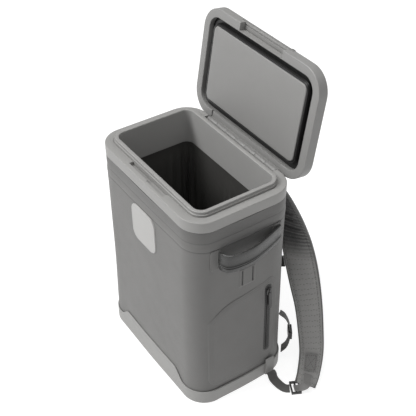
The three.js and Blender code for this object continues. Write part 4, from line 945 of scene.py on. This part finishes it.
def zip_pull():
    rings = []
    for down in np.linspace(0, 1, 26):
        half = read_table((0, 0.12, 0.8, 1), (2.2, 3.2, 3.6, 2.4), down)
        thick = 1.8 + 0.35 * math.cos(down * 2 * math.pi * 9) * (0.2 < down < 0.92)
        y, z = ZIP_Y + PULL_LEAN * down, slider_z - 1.35 - PULL_LENGTH * down
        ring = []
        for a in [2 * math.pi * k / 12 for k in range(12)]:
            out = slider_seat + 4.8 + thick / 2 * squared(math.sin(a))
            ring.append((out, y + half * squared(math.cos(a)), z))
        rings.append(ring)
    return loft("pull", rings, sharp_deg=60)


# Handles

HANDLE_BOW = {
    "along": (0, 0.015, 0.05, 0.14, 0.3, 0.46, 0.62, 0.78, 0.9, 1),
    "out": (0, 0.35, 0.72, 0.93, 1, 0.93, 0.72, 0.45, 0.2, 0),
}


def sweep(name, stations, sharp_deg=35):
    """Sweeps a section of width and thickness pairs along stations of (at, wide, thick, section)."""
    rings = []
    for at, wide, thick, section in stations:
        pairs = np.array(section)
        rings.append(at + np.outer(pairs[:, 0], wide) + np.outer(pairs[:, 1], thick))
    return loft(name, rings, sharp_deg=sharp_deg)


def unit(v):
    return v / np.linalg.norm(v)


def handle_section():
    """The grip is folded: an upper roll over a lower flap, with a groove between them."""
    w, t = HANDLE_WIDTH / 2, HANDLE_THICKNESS / 2
    outer = [
        (w - 1.2, 0.7), (w - 3, 1.0), (w / 2, 0.95), (1, 0.85), (-3.5, 1.1), (-5.0, 1.7), (-6.4, 1.7),
        (-7.2, 0.7), (-7.8, -0.4), (-9, -0.3), (-11, 0.6), (-w + 3, 0.65), (-w + 1, 0.3),
    ]
    inner = [(-w, -0.3), (-w + 1.2, -1), (-w / 2, -1), (0, -1), (w / 2, -1), (w - 1.2, -1), (w, -0.3)]
    return [(a, b * t) for a, b in inner + outer]


def side_handle():
    base_lift = GAP + 1.6 + GAP + HANDLE_THICKNESS / 2
    start = HANDLE_CENTRE_Y - HANDLE_SPAN / 2

    def place(share):
        y = start + HANDLE_SPAN * share
        out = HANDLE_REACH * read_table(HANDLE_BOW["along"], HANDLE_BOW["out"], share)
        return np.array([on_body("right", y, HANDLE_Z, 0)[0] + base_lift + out, y, HANDLE_Z])

    stations = []
    for share in np.linspace(0, 1, 90) ** 1.4:
        along = unit(place(min(1, share + 0.01)) - place(max(0, share - 0.01)))
        wide = np.array([0, 0, 1.0])
        stations.append((place(share), wide, unit(np.cross(along, wide)), handle_section()))
    return sweep("grip", stations)


# Place along the side and the ribs' places for the patches at the handle's two ends
HANDLE_PATCHES = {"front": (-64, (-60.5, -57)), "back": (68, (73,))}
TOOL_Y = 4.5
TOOL_Z = 293.0
TOOL_SLITS = {"front": -11.5, "back": 11.5}
SLIT_WIDTH = 2.6
SLIT_LENGTH = 34.0


def handle_patch(end):
    centre, ribs = HANDLE_PATCHES[end]

    def lift(u, z, d):
        height = plate_lift(1.9, 1.0)(u, z, d)
        for rib in ribs:
            height = height + 0.9 * bump_at(u, rib, 0.9) * smooth(d / 2)
        return height

    shape = rounded(20, HANDLE_WIDTH + 4, 4, centre, HANDLE_Z + 1.5, 5)
    return patch("patch_" + end, "right", shape, lift, step=0.6)


def slit_shape(aside, width=SLIT_WIDTH, length=SLIT_LENGTH, corner=1.25):
    return rounded(width, length, corner, TOOL_Y + aside, TOOL_Z, 4)


def tool_loop():
    def lift(u, z, d):
        height = 0.05 + 1.4 * smooth(d / 5.0)
        for aside in TOOL_SLITS.values():
            off = u - TOOL_Y - aside
            within = (np.abs(off) < SLIT_WIDTH / 2) & (np.abs(z - TOOL_Z) < SLIT_LENGTH / 2)
            signed = signed_distance(u, z, slit_shape(aside), within)
            lip = 0.8 * bump_at(signed, 1.6, 1.3) * (off > 0)
            height = mix(-2.5, height + lip, smooth((signed + 0.9) / 1.2))
        return height

    return patch("tool_patch", "right", rounded(40, 46, 5, TOOL_Y, TOOL_Z, 5), lift, step=0.5)


def slit_shade_sheet(end):
    """A near-black sheet inside one slit, as painted shade for the slit's depth."""
    shape = slit_shape(TOOL_SLITS[end], 3.2, 35, 1.5)
    return patch("slit_" + end, "right", shape, lambda u, z, d: 0.4 + 0 * d)


# Shoulder straps

STRAP_ROUTE = {
    "at": (0, 1, 2, 3, 4, 5, 6, 7, 8, 9, 10),
    "side": (0.341, 0.366, 0.386, 0.411, 0.463, 0.543, 0.637, 0.74, 0.849, 0.935, 0.98),
    "back": (0.12, 0.39, 0.69, 0.91, 1, 0.985, 0.895, 0.71, 0.45, 0.11, -0.15),
    "height": (1, 0.903, 0.772, 0.636, 0.51, 0.398, 0.301, 0.209, 0.126, 0.058, 0.0195),
    "width": (0.88, 0.94, 0.985, 1, 0.985, 0.92, 0.82, 0.76, 0.71, 0.67, 0.63),
    "turn": (0, 6, 14, 24, 32, 38, 44, 48, 54, 60, 63),
}
LAST_STATION = 10


def strap_frame(at):
    """A place in the strap's middle, with its directions and its width."""

    def read(column, place):
        return read_table(STRAP_ROUTE["at"], STRAP_ROUTE[column], place)

    def point(place):
        place = min(LAST_STATION, max(0, place))
        x, y = strap_splay * read("side", place), half_y + STRAP_REACH * read("back", place)
        return np.array([x, y, STRAP_TOP * read("height", place)])

    along = unit(point(at + 0.05) - point(at - 0.05))
    turn = math.radians(read("turn", at))
    level = np.array([math.cos(turn), math.sin(turn), 0])
    wide = unit(level - along * (level @ along))
    width = STRAP_WIDTH * read("width", at)
    return dict(at=point(at), along=along, wide=wide, thick=np.cross(along, wide), width=width)


def strap_travel(count):
    """Evenly spaced stations, with their distances along the strap."""
    steps = np.linspace(0, LAST_STATION, count)
    points = np.array([strap_frame(s)["at"] for s in steps])
    return steps, np.concatenate([[0], np.cumsum(np.linalg.norm(np.diff(points, axis=0), axis=1))])


def strap_pad():
    stations = []
    steps, run = strap_travel(151)
    shares = np.linspace(-1, 1, 21)
    for i, (at, travelled) in enumerate(zip(steps, run)):
        f = strap_frame(at)
        w = f["width"] / 2 - 1.5
        t = STRAP_THICKNESS / 2 * (0.62 + 0.38 * smooth(min(i, len(steps) - 1 - i) / 4))
        ribs = (1 - smooth((at - 2.6) / 0.7)) * smooth(at / 0.3)
        section = []
        for s in shares[::-1]:
            rise = t * (0.5 + 0.5 * (1 - abs(s) ** 2.6)) - 0.5
            rise -= 1.3 * bump_at(abs(s), 0.8, 0.05)
            rise += 1.5 * ribs * math.cos(2 * math.pi * travelled / RIB_PITCH) * (abs(s) < 0.78)
            rise -= 0.9 * (at > 8.0) * bump_at(at, 7.85, 0.06)
            section.append((w * s, rise))
        for s in shares:
            section.append((w * s * 0.998, -t * (0.5 + 0.5 * (1 - abs(s) ** 4)) + 0.3))
        stations.append((f["at"], f["wide"], f["thick"], section))
    return sweep("pad", stations, sharp_deg=70)


BINDING_HALF_WIDTH = 2.4
BINDING_HALF_DEPTH = 2.9
STITCH_INSET = 7.5
STITCH_PITCH = 5.5
PATCH_STATIONS = (8.1, 8.9)
PATCH_WIDTH = 24.0
patch_over = STRAP_THICKNESS / 2 + 2 * GAP + WEBBING_THICKNESS / 2


def strap_binding(side):
    """Bound edge of the strap."""
    stations = []
    angles = [2 * math.pi * k / 16 for k in range(16)]
    edge = [(BINDING_HALF_WIDTH * math.cos(a), BINDING_HALF_DEPTH * math.sin(a)) for a in angles]
    for at in np.linspace(0, LAST_STATION, 121):
        f = strap_frame(at)
        centre = side * (f["width"] / 2 - BINDING_HALF_WIDTH)
        stations.append((f["at"], f["wide"], f["thick"], [(centre + a, b) for a, b in edge]))
    return sweep("binding", stations, sharp_deg=70)


def threads(name, spots, length=3.4, size=0.8):
    """Thread stitches; each spot is a place with the thread's direction and the surface's."""
    work = bmesh.new()
    for at, along, out in spots:
        part = bmesh.ops.create_icosphere(work, subdivisions=1, radius=0.5)["verts"]
        basis = Matrix((Vector(np.cross(along, out)), Vector(along), Vector(out))).transposed().to_4x4()
        scale = Matrix.Diagonal((size * MM, length * MM, size * MM, 1))
        bmesh.ops.transform(work, matrix=Matrix.Translation(Vector(at) * MM) @ basis @ scale, verts=part)
    return from_bmesh(name, work)


def strap_stitches(side):
    """A row of stitches along the strap's bound edge."""
    steps, run = strap_travel(400)
    spots = []
    for travelled in np.arange(12.0, run[-1] - 8, STITCH_PITCH):
        f = strap_frame(float(np.interp(travelled, run, steps)))
        aside = f["wide"] * side * (f["width"] / 2 - STITCH_INSET)
        spots.append((f["at"] + aside + f["thick"] * (STRAP_THICKNESS * 0.31), f["along"], f["thick"]))
    return threads("stitches", spots)


def strap_patch():
    stations = []
    section = ribbon_section(PATCH_WIDTH, WEBBING_THICKNESS)
    for at in np.linspace(*PATCH_STATIONS, 24):
        f = strap_frame(at)
        stations.append((f["at"] + f["thick"] * patch_over, f["wide"], f["thick"], section))
    return sweep("strap_patch", stations)


def patch_threads():
    """Box stitching with a cross over the strap's patch."""
    low, high, side = PATCH_STATIONS[0] + 0.07, PATCH_STATIONS[1] - 0.07, PATCH_WIDTH / 2 - 2.5
    corners = ((low, -side), (high, -side), (high, side), (low, side))
    spots = []
    for a, b in ((0, 1), (1, 2), (2, 3), (3, 0), (0, 2), (1, 3)):

        def place(t):
            f = strap_frame(mix(corners[a][0], corners[b][0], t))
            lift = f["thick"] * (patch_over + WEBBING_THICKNESS / 2)
            return f["at"] + f["wide"] * mix(corners[a][1], corners[b][1], t) + lift, f["thick"]

        count = int(np.linalg.norm(place(1)[0] - place(0)[0]) / 3.4)
        for i in range(count):
            t = (i + 0.5) / count
            at, out = place(t)
            spots.append((at, unit(place(t + 0.02)[0] - place(t - 0.02)[0]), out))
    return threads("patch_threads", spots, 2.8, 0.9)


# Lid


def lid_shape(half_w, half_d, corner):
    """An outline round the lid's middle, as a function of how far it is pushed out."""
    return lambda push=0.0: Outline(half_w + push, half_d + push, corner + push, 0.0, 16, 30)


lid_outline = lid_shape(lid_x, lid_y, lid_corner)
seal_outline = lid_shape(seal_x, seal_y, seal_corner)
panel_outline = lid_shape(seal_x - GASKET_WIDTH, seal_y - GASKET_WIDTH, LID_PANEL_CORNER)

LID_CROWN = ((8, 0.1), (14, 0.5), (22, 0.9), (34, 1.2), (44, 1.4))  # insets and heights over the lid's top
SLOT_CLEARANCE = 0.45
HINGE_KNUCKLES = 7
LATCH_CAP = (8.0, 3.6, 5.0)
LATCH_CAP_INSET = 8.5


def open_lid(obj):
    """Turns a piece that is drawn on the shut lid to the open lid's place."""
    hinge = Vector((0, hinge_y, hinge_z)) * MM
    turn = Matrix.Rotation(math.radians(-LID_OPEN_DEG), 4, "X")
    obj.data.transform(Matrix.Translation(hinge) @ turn @ Matrix.Translation(-hinge))
    return obj


def latch_nose(turn):
    """The latch's round front, from its underside to its top."""
    return arc_rows((latch_y, latch_z), turn, -90, 90, 16)


def lid_cover():
    inside, edge, top = 1.3, 1.6, 2.2  # radii
    rings = [seal_outline().ring(seal_ceiling), seal_outline().ring(lid_bottom + inside)]
    rings += arc_rings(seal_outline, (inside, lid_bottom + inside), inside, 180, 270, 4)
    rings += arc_rings(lid_outline, (-edge, lid_bottom + edge), edge, -90, 0, 5)
    rings += arc_rings(lid_outline, (-top, lid_top - top), top, 0, 84, 9)
    rings += [lid_outline(-inset).ring(lid_top + rise) for inset, rise in LID_CROWN]
    half_notch, half_hinge = NOTCH_LENGTH / 2, HINGE_LENGTH / 2 + 1.5
    turn, back = latch_turn + SLOT_CLEARANCE, -lid_y - 6
    slot = [(back, latch_z - turn - 0.3)] + latch_nose(turn)[:13]
    slot += [(latch_y + turn * math.cos(math.pi / 4), lid_top + 6), (back, lid_top + 6)]
    notch_top = (half_notch, -lid_y + NOTCH_DEPTH, latch_z - latch_turn)
    recess_low = (-half_hinge, lid_y - LID_FRAME - 2, lid_bottom - 5)
    cutters = [
        box((-half_notch, -lid_y - 5, lid_bottom - 5), notch_top),
        run_along_x("slot", slot, LATCH_LENGTH / 2 + 0.5),
        box(recess_low, (half_hinge, lid_y + 5, lid_bottom + HINGE_RECESS_DEPTH)),
    ]
    return carve(loft("lid_cover", rings), cutters)


def lid_inner():
    low, edge = lid_bottom + 0.2, 2.2
    rings = [panel_outline(-8).ring(low)]
    rings += arc_rings(panel_outline, (-edge, low + edge), edge, -90, 0, 6)
    return loft("lid_inner", rings + [panel_outline(0).ring(seal_ceiling - GAP)])


def sleeve_outline(setback, push):
    half_w, half_d = wall_x - SLEEVE_CLEARANCE, wall_y - SLEEVE_CLEARANCE - setback
    return lid_shape(half_w, half_d, OPENING_CORNER - SLEEVE_CLEARANCE)(push)


def seal_ring():
    """The seal lines the groove with a bead, and stands round the panel as a finely ridged sleeve."""
    low, high, foot = lip_top + LID_GAP, seal_ceiling - GAP, lid_bottom + 1
    rings = [panel_outline(GAP + 0.6).ring(foot), panel_outline(GAP).ring(foot + 0.6)]
    rings += [panel_outline(GAP).ring(high), seal_outline(-GAP).ring(high)]
    inner, outer = sleeve_outline(0, -0.2), seal_outline(-GAP)
    for share in np.linspace(1, 0, 13):
        x, y = mix(inner.x, outer.x, share), mix(inner.y, outer.y, share)
        dip = 0.8 * (1 - bump_at(share, 0.55, 0.16))
        rings.append(np.column_stack([x, y, np.full(len(x), low + dip)]))
    straight, run = lip_top - 2, lip_top - lid_bottom - 4
    for z in np.arange(lip_top - 0.4, foot + 0.5, -0.35):
        setback = SLEEVE_SETBACK * float(np.clip((straight - z) / run, 0, 1))
        rings.append(sleeve_outline(setback, -0.25 + 0.22 * math.cos(2 * math.pi * z / 2.1)).ring(z))
    rings.append(sleeve_outline(SLEEVE_SETBACK, -1.0).ring(foot))
    return loft("seal_ring", rings, looped=True)


def hinge_leaf():
    half = HINGE_LENGTH / 2
    top = lid_bottom + HINGE_RECESS_DEPTH - GAP
    low, back = top - 1.9, lid_y - 0.4
    pieces = [
        box((-half, lid_y - LID_FRAME + 1, low), (half, back, top), 0.5),
        box((-half, back - 4, hinge_z + HINGE_RADIUS - 1.5), (half, back, low + 0.5), 0.4),
    ]
    pitch = HINGE_LENGTH / HINGE_KNUCKLES
    for i in range(HINGE_KNUCKLES):
        start = -half + pitch * i
        pieces.append(knuckle(start + 0.25, start + pitch - 0.25))
    return merge("hinge_leaf", pieces)


def latch_handle():
    """The latch bar, with long grooves along its front, top and underside."""
    front = -lid_y + 0.2
    low, high = latch_z - latch_turn, latch_z + latch_turn
    rib = LATCH_THICKNESS / 5
    points = latch_nose(latch_turn)
    top = ((2.2, 0), (2.6, 1.3), (4.3, 1.3), (4.7, 0), (7.0, 0), (7.4, 1.2), (8.8, 1.2), (9.2, 0))
    points += [(latch_y - back, high - down) for back, down in top]
    face = [(1.2, 0), (0.4, 0.4), (0, 1.2)]
    for i in (1, 3):
        face += [(0, rib * i), (1.8, rib * (i + 0.15)), (1.8, rib * (i + 0.85)), (0, rib * (i + 1))]
    points += [(front + in_by, high - down) for in_by, down in face]
    underside = ((0, 1), (0.3, 0.3), (1, 0), (3.4, 0), (3.7, 1.6), (5.6, 1.6), (5.9, 0))
    points += [(front + in_by, low + up) for in_by, up in underside]
    return run_along_x("latch_handle", points, LATCH_LENGTH / 2)


def latch_cap():
    work = bmesh.new()
    bmesh.ops.create_uvsphere(work, u_segments=32, v_segments=16, radius=1)
    size = Matrix.Diagonal((*(s * MM for s in LATCH_CAP), 1))
    place = Vector((LATCH_LENGTH / 2 - LATCH_CAP_INSET, -lid_y + 4.2, latch_z + latch_turn + GAP)) * MM
    bmesh.ops.transform(work, matrix=Matrix.Translation(place) @ size, verts=work.verts)
    for v in work.verts:
        v.co.z = max(v.co.z, place.z)
    return from_bmesh("latch_cap", work)


# Webbing


def catmull(points, count):
    points = np.asarray(points, float)
    padded = np.vstack([2 * points[0] - points[1], points, 2 * points[-1] - points[-2]])
    out = []
    spans = len(points) - 1
    for i in range(count + 1):
        s = min(spans - 1e-9, spans * i / count)
        k = int(s)
        t = s - k
        p0, p1, p2, p3 = padded[k : k + 4]
        bend = (2 * p0 - 5 * p1 + 4 * p2 - p3) * t * t + (3 * p1 - p0 - 3 * p2 + p3) * t**3
        out.append(0.5 * (2 * p1 + (p2 - p0) * t + bend))
    return np.array(out)


def ribbon_section(width, thickness):
    w, t = width / 2, thickness / 2
    under = [(-w, -0.3 * t), (-w + 0.5, -t), (-w / 2, -t), (0, -t), (w / 2, -t), (w - 0.5, -t), (w, -0.3 * t)]
    return under + [(a, -b) for a, b in reversed(under)]


def ribbon(name, points, level, width, thickness=WEBBING_THICKNESS, steps=60):
    """A webbing ribbon along points; level gives the direction of its width at each share of the way."""
    track = catmull(points, steps)
    stations = []
    for i, at in enumerate(track):
        along = unit(track[min(steps, i + 1)] - track[max(0, i - 1)])
        lay = np.asarray(level(i / steps), float)
        wide = unit(lay - along * (lay @ along))
        stations.append((at, wide, unit(np.cross(along, wide)), ribbon_section(width, thickness)))
    return sweep(name, stations)


# The lower webbing from the base's tab to the buckle, its free tail, the side loop and the chest strap

WEBBING = 20.0
ANCHOR_INSET = 44.8
ANCHOR_THICKNESS = 3.2
LOCK_STANDOFF = 9.0
LOCK_LENGTH = 20.0
LOCK_THICKNESS = 5.0
FLOOR_CLEAR = 0.8
LOWER_RISE = 8.0
TAIL_WIDTH = 15.0
TAIL_SHIFT = 5.0
TAIL_ASIDE = -1.0
LOOP_TOP = 122.0
LOOP_REACH = 12.0
LOOP_WIDTH = 18.0
LOOP_START_TURN = 26.0
CHEST_STATION = 4.1
CHEST_CLIP = 13.0
CHEST_EDGE_GAP = 0.8
CHEST_WEBBING = 16.0
CHEST_BUCKLE = 46.0
CHEST_SAG = 3.0

# out, aside, rise
LOWER_ROUTE = (
    (0, 0, 1), (0.1, -0.03, 0.9), (0.3, -0.45, 0.5), (0.58, -0.42, 0.35),
    (0.8, -0.15, 0.3), (0.93, 0.32, 0.3), (1, 1, 0.3),
)
# side, back, height
LOOP_ROUTE = (
    (0.93, 0.42, 0.93), (0.985, 0.7, 0.78), (0.99, 0.75, 0.55), (0.965, 0.5, 0.34), (0.9, 0.2, 0.17),
)

anchor_outer = half_x + BODY_BULGE + TRAY_SIDE + 3 * GAP + ANCHOR_THICKNESS
anchor_y = half_y - ANCHOR_INSET
strap_end = strap_frame(LAST_STATION)
lock_way = unit(np.array([-0.45, -0.89, 0.0]))
lock_across = np.array([-lock_way[1], lock_way[0], 0.0])


def turning(first, last, speed=1.0):
    """A direction that swings from the first to the last along a ribbon."""
    return lambda t: mix(np.asarray(first), np.asarray(last), float(smooth(speed * t)))


def lower_webbing():
    end = strap_end["at"] + lock_way * (LOCK_STANDOFF + LOCK_LENGTH + 4 * GAP)
    start = (anchor_outer + 4 * GAP, anchor_y)
    points = [(mix(start[0], end[0], o), mix(start[1], end[1], a), LOWER_RISE * r) for o, a, r in LOWER_ROUTE]
    return ribbon("lower_ribbon", points, turning((0, 1, 0), -lock_across), WEBBING)


def webbing_tail():
    over = STRAP_THICKNESS / 2 + GAP + WEBBING_THICKNESS
    top = FLOOR_CLEAR + LOCK_THICKNESS + 3 * GAP + WEBBING_THICKNESS / 2
    points = []
    for share in (0.7, 0.2):
        at = strap_end["at"] + lock_way * (LOCK_STANDOFF + LOCK_LENGTH * share) + lock_across * TAIL_SHIFT
        points.append((at[0], at[1], top))
    for station, lift in ((LAST_STATION, 10), (9.5, 2.4), (9.1, -0.5)):
        f = strap_frame(station)
        points.append(f["at"] + f["thick"] * (over + lift) + f["wide"] * TAIL_ASIDE)
    return ribbon("tail_ribbon", points, turning(lock_across, strap_end["wide"]), TAIL_WIDTH)


def side_webbing():
    turn = math.radians(LOOP_START_TURN)
    round_at = half_x - BODY_CORNER + BODY_CORNER * turn
    points = [on_body("back", -round_at, LOOP_TOP, 4 * GAP + WEBBING_THICKNESS)]
    points += [(half_x * s, half_y + 1.2 + LOOP_REACH * b, LOOP_TOP * h) for s, b, h in LOOP_ROUTE]
    flat = (math.cos(turn), -math.sin(turn), 0)
    return ribbon("side_ribbon", points, turning(flat, (0.83, -0.56, 0), 2), LOOP_WIDTH)


def chest_webbing():
    f = strap_frame(CHEST_STATION)
    reach = f["at"] - f["wide"] * (f["width"] / 2 + CHEST_CLIP + CHEST_EDGE_GAP + 8 * GAP)
    inner = np.array([CHEST_BUCKLE / 2 + 3 * GAP, reach[1] + CHEST_SAG, reach[2] - CHEST_SAG])
    middle = mix(reach, inner, 0.5)
    middle[1] = reach[1] + CHEST_SAG * 0.7
    return ribbon("chest_ribbon", [reach, middle, inner], turning(-f["along"], (0, 0, 1), 2), CHEST_WEBBING)


def strap_root():
    centre = -strap_splay * STRAP_ROUTE["side"][0]
    return patch("root", "back", rounded(STRAP_WIDTH, 30, 4, centre, STRAP_TOP - 2, 5), plate_lift(1.9))


# Building the pieces


def rounded_solid(node, name, width, finish):
    """A small moulded solid with its edges rounded."""
    obj = link_new(name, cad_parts[node].data.copy())
    return settle(soften(obj, width, 3), finish, node)


def on_both_sides(obj, stem, finish, *nodes):
    """Settles a right-hand piece and its mirrored twin."""
    twin = mirrored(obj, stem + "_left")
    obj.name = stem + "_right"
    sides = ((obj, "right"), (twin, "left"))
    return [settle(piece, finish, *(f"{node}_{side}" for node in nodes)) for piece, side in sides]


skin = settle(body_skin(), SKIN, "body_shell")
settle(liner_bag(), BAG, "cooler_liner")
settle(paint_inner_wall(rim()), (RIM[0], None), "rim_collar")
settle(base(), BASE, "base_tray")
settle(badge(), BADGE, "badge_plate")
settle(pocket(), SHELL, "pocket_panel")
settle(tool_loop(), SHELL, "tool_loop")
# Near-black sheets in the slits, as painted shade.
for end in TOOL_SLITS:
    settle(slit_shade_sheet(end), SEAL)
settle(zip_coil(), DARK)
settle(zip_tape(), TAPE, "zip_tape")
settle(zip_slider(), DARK, "zip_slider")
settle(zip_pull(), DARK, "zip_pull")
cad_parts["hinge_pin"].data.materials.clear()
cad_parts["hinge_pin"].data.materials.append(STEEL)

settle(open_lid(lid_cover()), LID, "lid_shell", body="lid")
settle(open_lid(lid_inner()), PANEL, "lid_panel", body="lid")
settle(open_lid(seal_ring()), SEAL, "lid_gasket", body="lid")
settle(open_lid(hinge_leaf()), LID, "hinge_barrel", body="lid")
settle(open_lid(latch_handle()), LID, "latch_bar", body="latch")
settle(open_lid(latch_cap()), SEAL, "latch_button", body="latch")

on_both_sides(side_handle(), "grip", GRIP, "side_handle")
for end in HANDLE_PATCHES:
    on_both_sides(handle_patch(end), "grip_patch_" + end, SHELL, "handle_patch_" + end)

for pad in on_both_sides(strap_pad(), "pad", MESH, "shoulder_strap"):
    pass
for place, side in (("outer", 1), ("inner", -1)):
    on_both_sides(strap_binding(side), "binding_" + place, WEB)
    on_both_sides(strap_stitches(side), "stitches_" + place, THREAD)
on_both_sides(strap_root(), "root_pad", WEB, "strap_root")
on_both_sides(strap_patch(), "patch_ribbon", STRAP_WEB, "strap_patch")
on_both_sides(patch_threads(), "patch_threads", THREAD)
on_both_sides(lower_webbing(), "lower_ribbon", WEB, "lower_webbing")
on_both_sides(webbing_tail(), "tail_ribbon", STRAP_WEB, "webbing_tail")
on_both_sides(side_webbing(), "side_ribbon", WEB, "side_webbing")
on_both_sides(chest_webbing(), "chest_ribbon", WEB, "chest_webbing")
for side in ("right", "left"):
    rounded_solid(f"base_anchor_{side}", f"anchor_tab_{side}", 0.7, BASE)
    rounded_solid(f"ladder_lock_{side}", f"lock_frame_{side}", 0.8, DARK)
    rounded_solid(f"side_buckle_{side}", f"loop_slider_{side}", 0.9, DARK)
    rounded_solid(f"chest_slider_{side}", f"chest_clip_{side}", 0.9, DARK)
rounded_solid("chest_buckle", "chest_clasp", 0.9, DARK)

# Floor and light

FLOOR_GLOW = 0.82  # a lit sweep, as in a product studio
WORLD_STRENGTH = 0.36
# name, place, aim, size, watts
AREA_LIGHTS = (
    ("top", (0.1, 0.0, 1.7), (0.0, 0.0, 0.3), 0.9, 10),
    ("key", (-0.9, -2.0, 2.2), (0, 0, 0.35), 1.2, 30),
)
SUN_FROM = (-0.75, -1.5, 1.7)
SUN_STRENGTH = 1.42
SUN_SPREAD_DEG = 24


def add_floor():
    work = bmesh.new()
    bmesh.ops.create_grid(work, x_segments=1, y_segments=1, size=6)
    floor = from_bmesh("floor", work)
    floor.location.z = -0.0002
    paint = Paint("floor_paint", (0.36, 0.36, 0.36), 0.8, Specular_IOR_Level=0.1)
    paint.fill(paint.shader, Emission_Color=(1, 1, 1, 1), Emission_Strength=FLOOR_GLOW)
    paint.vary(paint.noise(2, 2.0), 0.995, 1.005)
    floor.data.materials.append(paint.material)


def add_area(name, at, aim, size, watts):
    data = bpy.data.lights.new(name, "AREA")
    data.shape = "SQUARE"
    data.size = size
    data.energy = watts
    light = link_new(name, data)
    light.location = at
    light.rotation_euler = (Vector(aim) - Vector(at)).to_track_quat("-Z", "Y").to_euler()


def add_sun():
    data = bpy.data.lights.new("daylight", "SUN")
    data.energy = SUN_STRENGTH
    data.angle = math.radians(SUN_SPREAD_DEG)
    light = link_new("daylight", data)
    light.rotation_euler = Vector(SUN_FROM).to_track_quat("Z", "Y").to_euler()


def add_world():
    world = bpy.data.worlds.new("studio")
    world.use_nodes = True
    shade_inputs = world.node_tree.nodes["Background"].inputs
    shade_inputs["Color"].default_value = (1, 1, 1, 1)
    shade_inputs["Strength"].default_value = WORLD_STRENGTH
    bpy.context.scene.world = world


add_floor()
add_world()
add_sun()
for light in AREA_LIGHTS:
    add_area(*light)
bpy.context.scene.view_settings.view_transform = "Standard"

bpy.context.view_layer.update()
